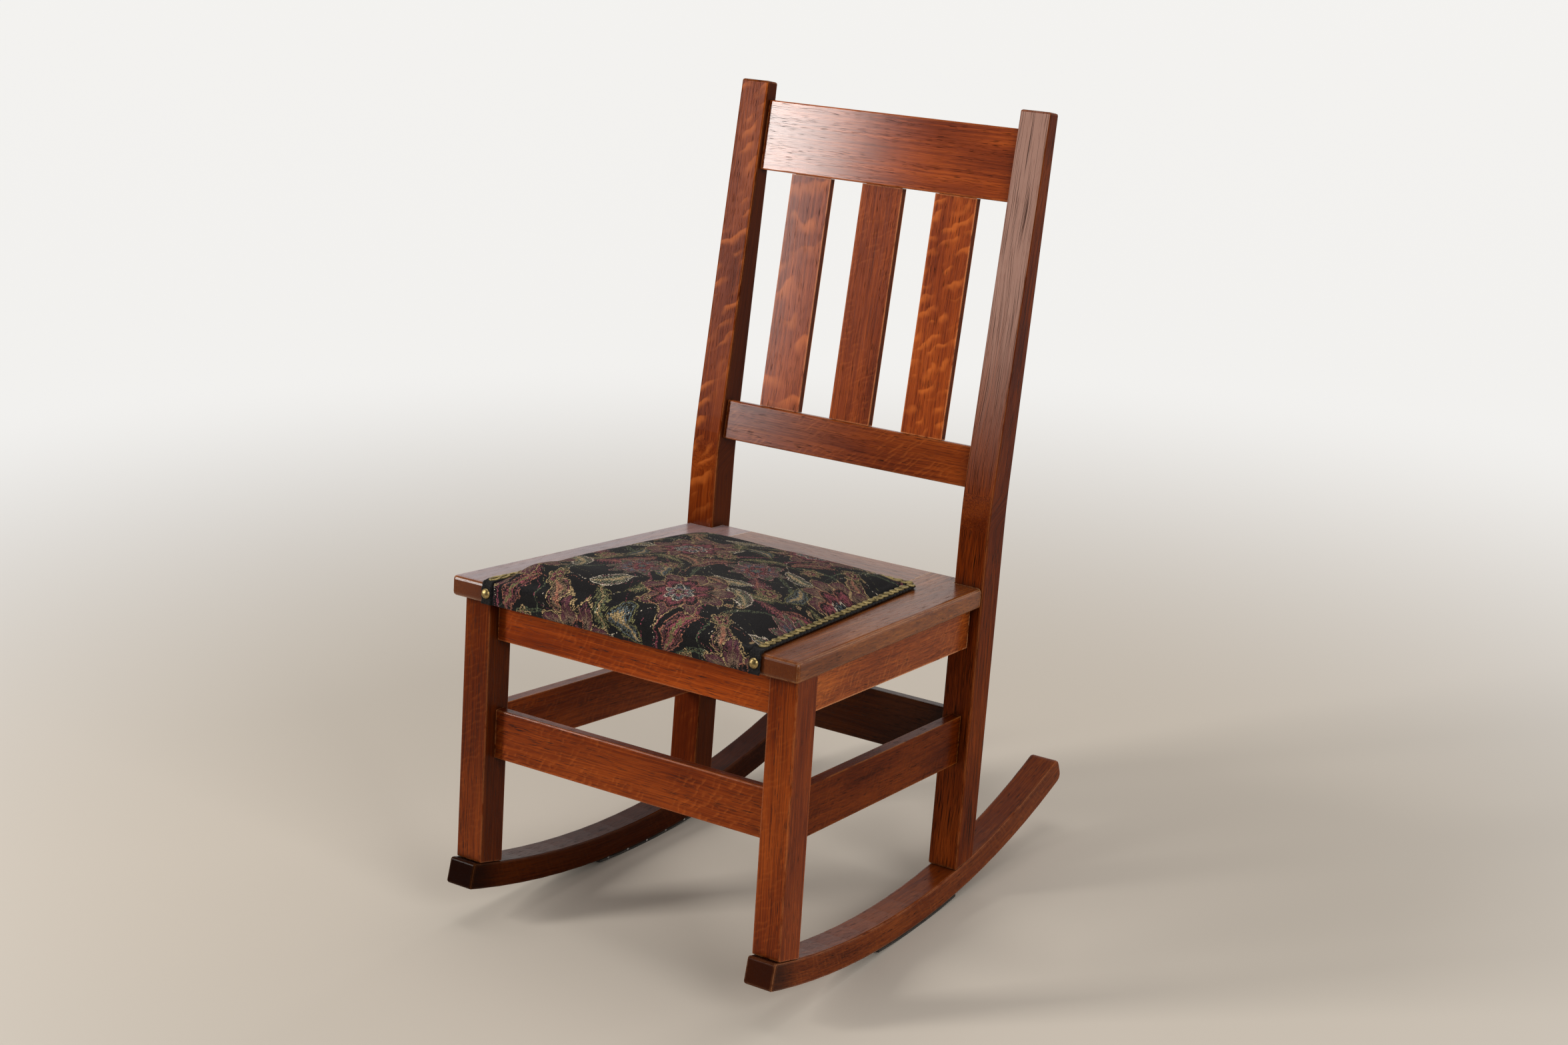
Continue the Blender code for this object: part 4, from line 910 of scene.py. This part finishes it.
def walk(line, pitch):
    """Places along a line at an even pitch: point, outward direction and heading."""
    places = []
    spare = 0.0
    for (a, na), (b, nb) in zip(line, line[1:]):
        long = (b - a).length
        while spare <= long:
            share = spare / long
            places.append((a.lerp(b, share), na.lerp(nb, share).normalized(), (b - a).normalized()))
            spare += pitch
        spare -= long
    return places


def finished(bm, name, smooth=True):
    """A mesh from a form drawn in the square frame, set the way that the chair stands."""
    bmesh.ops.recalc_face_normals(bm, faces=bm.faces)
    for face in bm.faces:
        face.smooth = smooth
    mesh = mesh_of(bm, name)
    mesh.transform(SQUARE)
    return mesh


def sweep(bm, rings):
    """Joins each ring of points to the next, and closes both ends."""
    for first, second in zip(rings, rings[1:]):
        for k in range(len(first)):
            j = (k + 1) % len(first)
            bm.faces.new((first[k], first[j], second[j], second[k]))
    for ring in (rings[0], rings[-1]):
        bm.faces.new(ring)


def braid_mesh():
    """Flat braid with plaited, scalloped edges, swept along the trim's line."""
    bm = bmesh.new()
    half = GIMP_WIDTH / 2
    section = [(-share, tall) for share, tall in reversed(BRAID_HALF[1:])] + BRAID_HALF
    rings = []
    for index, (point, out, heading) in enumerate(walk(trim_line(), BRAID_STEP)):
        aside = heading.cross(out).normalized()
        ring = []
        for share, tall in section:
            turn = index * BRAID_STEP * 2 * pi / SCALLOP + (pi if share > 0 else 0.0)
            wave = sin(turn) if abs(share) > 0.5 else 0.0
            wide = half * share * (BRAID_WIDE[0] + BRAID_WIDE[1] * wave)
            high = GIMP_THICK * tall * (BRAID_HIGH[0] + BRAID_HIGH[1] * wave)
            ring.append(bm.verts.new(point + aside * wide + out * high))
        rings.append(ring)
    sweep(bm, rings)
    return finished(bm, "gimp")


def loops_mesh():
    """A chain of oval loops of cord, each lying on the tail of the next."""
    draw = random.Random(5)
    line = [(p, n) for p, n in trim_line() if n.z > 0.999]
    bm = bmesh.new()
    twist = bm.loops.layers.uv.new("cord")
    for start, out, heading in walk(line, LOOP_PITCH)[:-1]:
        aside = heading.cross(out).normalized()
        long, wide = (size * draw.uniform(*LOOP_VARY) for size in LOOP_HALF)
        skew = draw.uniform(-LOOP_SKEW, LOOP_SKEW)
        centre = start + heading * LOOP_PITCH * 0.5 + out * (GIMP_THICK * 0.5 + CORD * 0.8)
        rows = []
        for k in range(LOOP_SIDES):
            turn = 2 * pi * k / LOOP_SIDES
            lift = LOOP_LIFT * cos(turn)
            spoke = (heading * cos(turn) * wide + aside * sin(turn) * long).normalized()
            over = wide * sin(turn) + skew * long * cos(turn)
            path = centre + heading * (long * cos(turn)) + aside * over + out * lift
            row = []
            for j in range(CORD_SIDES):
                bend = 2 * pi * j / CORD_SIDES
                point = path + spoke * CORD * cos(bend)
                row.append(bm.verts.new(point + out * CORD * CORD_FLAT * sin(bend)))
            rows.append(row)
        for k in range(LOOP_SIDES):
            for j in range(CORD_SIDES):
                m, n = (k + 1) % LOOP_SIDES, (j + 1) % CORD_SIDES
                face = bm.faces.new((rows[k][j], rows[m][j], rows[m][n], rows[k][n]))
                corners = ((k, j), (k + 1, j), (k + 1, j + 1), (k, j + 1))
                for loop, (u, v) in zip(face.loops, corners):
                    loop[twist].uv = (u / LOOP_SIDES, v / CORD_SIDES)
    return finished(bm, "gimp_loops")


def black_braid():
    material, finish = new_finish("black braid")
    fuzz = finish.noise(finish.place(), 3.0, 0.65, 900.0)
    colour = finish.mix(finish.step(fuzz, 0.42, 0.72), (0.0055, 0.0050, 0.0055), (0.026, 0.023, 0.022))
    finish.set(Base_Color=colour, Roughness=0.88, Specular_IOR_Level=0.12, Sheen_Weight=0.03,
               Normal=finish.bump(fuzz, 0.7, 0.0008))
    return material


def gilt_cord():
    """Dull gilt thread laid up in strands round the cord."""
    material, finish = new_finish("gilt cord")
    u, v, _ = finish.split(finish.node("UVMap", {"uv_map": "cord"}))
    strand = finish.math("SINE", (u * 24.0 + v * 2.0) * (2 * pi))
    dull = finish.noise(finish.place(), 2.0, 0.5, 120.0)
    # Painted shade between the strands, with duller patches of thread.
    shade = finish.step(strand * 0.3 + (dull - 0.5) * 2.6, -0.75, 0.45)
    colour = finish.mix(shade, (0.055, 0.040, 0.013), (0.400, 0.305, 0.120))
    finish.set(Base_Color=colour, Metallic=0.55, Roughness=0.62 - 0.22 * shade,
               Normal=finish.bump(strand, 0.3, 0.0003))
    return material


NAIL_RADIUS = 0.0053
NAIL_HEIGHT = 0.0033
FRONT_NAIL_DROP = 0.0095
NAIL_SEED = 11
NAIL_BED = 0.3
HAMMERED = 0.07
NAIL_SIDES = 18
NAIL_RINGS = [(0.30, 0.96), (0.56, 0.84), (0.78, 0.62), (0.92, 0.34), (1.0, 0.08), (0.97, -0.06)]
ASKEW = 0.12


def nail_mesh(name, place, seed):
    """A domed nail head with a rolled rim, hammered all over and struck a little askew."""
    draw = random.Random(seed)
    nod, tip = (Matrix.Rotation(draw.uniform(-ASKEW, ASKEW), 3, axis) for axis in "XY")
    turn = Vector((0, -1, 0)).to_track_quat("Z", "Y").to_matrix() @ (nod @ tip)
    bm = bmesh.new()
    crown = bm.verts.new(place + turn @ Vector((0, 0, NAIL_HEIGHT)))
    loops = []
    for share, tall in NAIL_RINGS:
        loop = []
        for k in range(NAIL_SIDES):
            angle = 2 * pi * k / NAIL_SIDES
            struck = 1.0 + draw.uniform(-HAMMERED, HAMMERED) * (1 - share * 0.6)
            wide = NAIL_RADIUS * share
            point = Vector((wide * cos(angle), wide * sin(angle), NAIL_HEIGHT * tall * struck))
            loop.append(bm.verts.new(place + turn @ point))
        loops.append(loop)
    for k in range(NAIL_SIDES):
        bm.faces.new((crown, loops[0][k], loops[0][(k + 1) % NAIL_SIDES]))
    for first, second in zip(loops, loops[1:]):
        for k in range(NAIL_SIDES):
            j = (k + 1) % NAIL_SIDES
            bm.faces.new((first[k], second[k], second[j], first[j]))
    bm.faces.new(list(reversed(loops[-1])))
    return finished(bm, name)


def make_trim():
    braid = add_piece("gimp", braid_mesh(), black_braid())
    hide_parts("gimp_left", "gimp_right", "gimp_rear")
    loops = add_piece("gimp_loops", loops_mesh(), gilt_cord())
    front = GIMP_FRONT + GIMP_THICK * NAIL_BED
    reach = pad_edge(SEAT_FRONT) - GIMP_WIDTH / 2
    for seed, (side, x) in enumerate({"left": -reach, "right": reach}.items()):
        place = Vector((x, front, SEAT_TOP - FRONT_NAIL_DROP))
        name = f"nail_head_{side}"
        nail = add_piece(name, nail_mesh(name, place, NAIL_SEED + seed), BRASS)
        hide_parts(f"brass_nail_{side}")


make_trim()

# Webbing under the stuffing
WEB_STEP = 0.004
STRAP_BEARING = 0.005
CROSSING_RUN = 0.036
CROSSING_ROOM = 1.15
STRAP_LIP = 0.75
STRAP_SHARES = (-1.0, -0.94, -0.5, 0.0, 0.5, 0.94, 1.0)


def strap_mesh(node, lengthwise, crossings, first_over):
    """A strap that passes over and under the ones that cross it."""
    low, high = square_box(node)
    middle = (low + high) / 2
    axis = 1 if lengthwise else 0
    start = low[axis] - (0.0 if lengthwise else STRAP_BEARING)
    end = high[axis] + STRAP_BEARING
    wide = (high - low)[1 - axis] / 2
    thick = high.z - low.z
    base = SEAT_TOP + CLEAR
    steps = ceil((end - start) / WEB_STEP)
    bm = bmesh.new()
    rings = []
    for k in range(steps + 1):
        along = start + (end - start) * k / steps
        lift = 0.0
        for index, place in enumerate(crossings):
            near = max(0.0, 1.0 - abs(along - place) / CROSSING_RUN)
            over = (index % 2 == 0) == first_over
            lift += (1.0 if over else -1.0) * (near * near * (3 - 2 * near))
        z = base + thick * CROSSING_ROOM * (0.5 + 0.5 * lift)
        row = []
        for share in STRAP_SHARES:
            lipped = thick * (STRAP_LIP if abs(share) == 1.0 else 1.0)
            for height in (0.0, lipped):
                point = [0.0, 0.0, z + height]
                point[axis] = along
                point[1 - axis] = middle[1 - axis] + share * wide
                row.append(bm.verts.new(point))
        rings.append(row[::2] + row[::-2])
    sweep(bm, rings)
    return finished(bm, node, smooth=False), (2 * wide, end - start)


def make_webbing():
    long_nodes = sorted(node for node in NODES if node.startswith("strap_long"))
    cross_nodes = sorted(node for node in NODES if node.startswith("strap_across"))

    def middles(nodes, axis):
        return [(square_box(node)[0][axis] + square_box(node)[1][axis]) / 2 for node in nodes]

    jute = hessian("jute webbing", (0.25, 0.165, 0.080), (0.40, 0.285, 0.150), 2.2)
    for nodes, lengthwise, crossings in ((long_nodes, True, middles(cross_nodes, 1)),
                                         (cross_nodes, False, middles(long_nodes, 0))):
        for index, node in enumerate(nodes):
            mesh, flat = strap_mesh(node, lengthwise, crossings, (index % 2 == 0) != lengthwise)
            strap = add_piece(node.replace("strap", "web"), mesh, jute)
            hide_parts(node)


make_webbing()

# Tacks along the strips' upper edges
TACK_RADIUS = 0.0016
TACK_PITCH = 0.030
STRIP_END = 0.005
TACK_MARGIN = 0.016
TACK_SINK = 0.0004
TACK_FIRST = 0.09
TACK_SPAN = 0.82
TACK_FLAT = (0.5, 1.0, 0.8, 1.0)


def make_tacks():
    """Small round heads along the inner side of each strip, where it meets the rocker."""
    for side, sign in (("left", -1), ("right", 1)):
        strip = NODES[f"rocker_strip_{side}"].data
        corners = sorted((vert.co.y, sign * vert.co.x) for vert in strip.vertices)
        start, end = corners[0][0], corners[-1][0]
        inner_start = min(x for y, x in corners if y < start + STRIP_END)
        inner_end = min(x for y, x in corners if y > end - STRIP_END)
        count = int((end - start - TACK_MARGIN) / TACK_PITCH)
        bm = bmesh.new()
        for k in range(count + 1):
            share = TACK_FIRST + TACK_SPAN * k / count
            y = start + (end - start) * share
            curve = ROCKER_RADIUS - sqrt(ROCKER_RADIUS ** 2 - (y - BALANCE) ** 2)
            z = STAND_HEIGHT + curve - TACK_SINK
            x = inner_start + (inner_end - inner_start) * share
            place = Matrix.Translation((sign * x, y, z)) @ Matrix.Diagonal(TACK_FLAT)
            bmesh.ops.create_uvsphere(bm, u_segments=10, v_segments=6, radius=TACK_RADIUS, matrix=place)
        for face in bm.faces:
            face.smooth = True
        name = f"strip_tacks_{side}"
        tacks = add_piece(name, mesh_of(bm, name), STEEL)


make_tacks()

# Floor, light and camera
FLOOR_NEAR = (0.57, 0.515, 0.445)
FLOOR_FAR = (0.87, 0.86, 0.84)
SOFT_LIGHT = (0.20, 0.195, 0.19)
BLACK = (0.0, 0.0, 0.0)
LAMP_WHITE = (1.0, 0.98, 0.96)
FLOOR_HALF = 30.0
FLOOR_FADE = (0.5, 2.3)
LAMPS = {
    "key": dict(place=(-2.12, -2.385, 1.52), size=(0.55, 1.5), power=84.0, aim=(0.0, 0.0, 0.5),
                colour=(1.0, 0.97, 0.93)),
    "fill": dict(place=(2.9, -1.3, 1.5), size=(1.6, 1.6), power=62.0),
    "top": dict(place=(-0.4, 0.2, 3.2), size=(2.0, 2.0), power=24.0),
    "back": dict(place=(0.6, 3.0, 1.9), size=(2.4, 1.6), power=34.0, mirrored=False),
}
FITTED_BALANCE = 0.2614
CAMERA_PLACE = Vector((1.4693, -1.8329, 1.1949)) + Vector((0.0, BALANCE - FITTED_BALANCE, STAND_HEIGHT))
CAMERA_TURN = (1.2674, -0.0139, 0.6107)
CAMERA_LENS = 60.58


def seen(finish, behind):
    """How much of the pale backdrop shows: all to the eye, and the part behind the chair to a gloss."""
    path = finish.node("LightPath", out="Is Camera Ray")
    clear = finish.math("MINIMUM", path + path.output("Is Transmission Ray"), 1.0)
    return finish.math("MAXIMUM", clear, path.output("Is Glossy Ray") * (0.05 + 0.95 * behind))


def make_floor():
    """A plain floor that pales into the backdrop away from the chair."""
    bm = bmesh.new()
    bmesh.ops.create_grid(bm, x_segments=1, y_segments=1, size=FLOOR_HALF)
    mesh = mesh_of(bm, "floor")
    floor = add_object("floor", mesh)
    material, finish = new_finish("pale floor")
    spot = finish.place()
    far = finish.step(finish.length(spot), *FLOOR_FADE)
    behind = finish.step(finish.split(spot)[1], -0.2, 0.7)
    near_colour = finish.mix(far, FLOOR_NEAR, BLACK)
    far_colour = finish.mix(far * seen(finish, behind), BLACK, FLOOR_FAR)
    finish.set(Base_Color=near_colour, Roughness=0.8, Specular_IOR_Level=0.1, Emission_Color=far_colour,
               Emission_Strength=1.0)
    mesh.materials.append(material)


def add_light(name, place, size, power, aim=(0.0, 0.0, 0.4), colour=LAMP_WHITE, mirrored=True):
    light = bpy.data.lights.new(name, "AREA")
    light.shape = "RECTANGLE"
    light.size, light.size_y = size
    light.energy = power
    light.color = colour
    lamp = add_object(name, light)
    lamp.location = place
    lamp.visible_glossy = mirrored
    lamp.rotation_euler = (Vector(aim) - Vector(place)).to_track_quat("-Z", "Y").to_euler()


def make_world():
    """Pale behind the chair, dim before it, and dimmer still as light."""
    world = bpy.data.worlds.new("studio")
    SCENE.world = world
    world.use_nodes = True
    finish = Finish(world.node_tree)
    ahead = finish.split(finish.node("TexCoord", out="Generated"))[1]
    colour = finish.mix(seen(finish, finish.step(ahead, -0.4, 0.5)), BLACK, FLOOR_FAR)
    falling = finish.node("LightPath", out="Is Diffuse Ray")
    finish.set(Color=finish.mix(falling, colour, SOFT_LIGHT), Strength=1.0)


def make_camera():
    camera = bpy.data.cameras.new("camera")
    camera.sensor_width = 36.0
    camera.lens = CAMERA_LENS
    holder = add_object("camera", camera)
    holder.location = CAMERA_PLACE
    holder.rotation_euler = CAMERA_TURN
    SCENE.camera = holder


make_floor()
make_world()
for name, lamp in LAMPS.items():
    add_light(name, **lamp)
make_camera()
SCENE.view_settings.view_transform = "Standard"
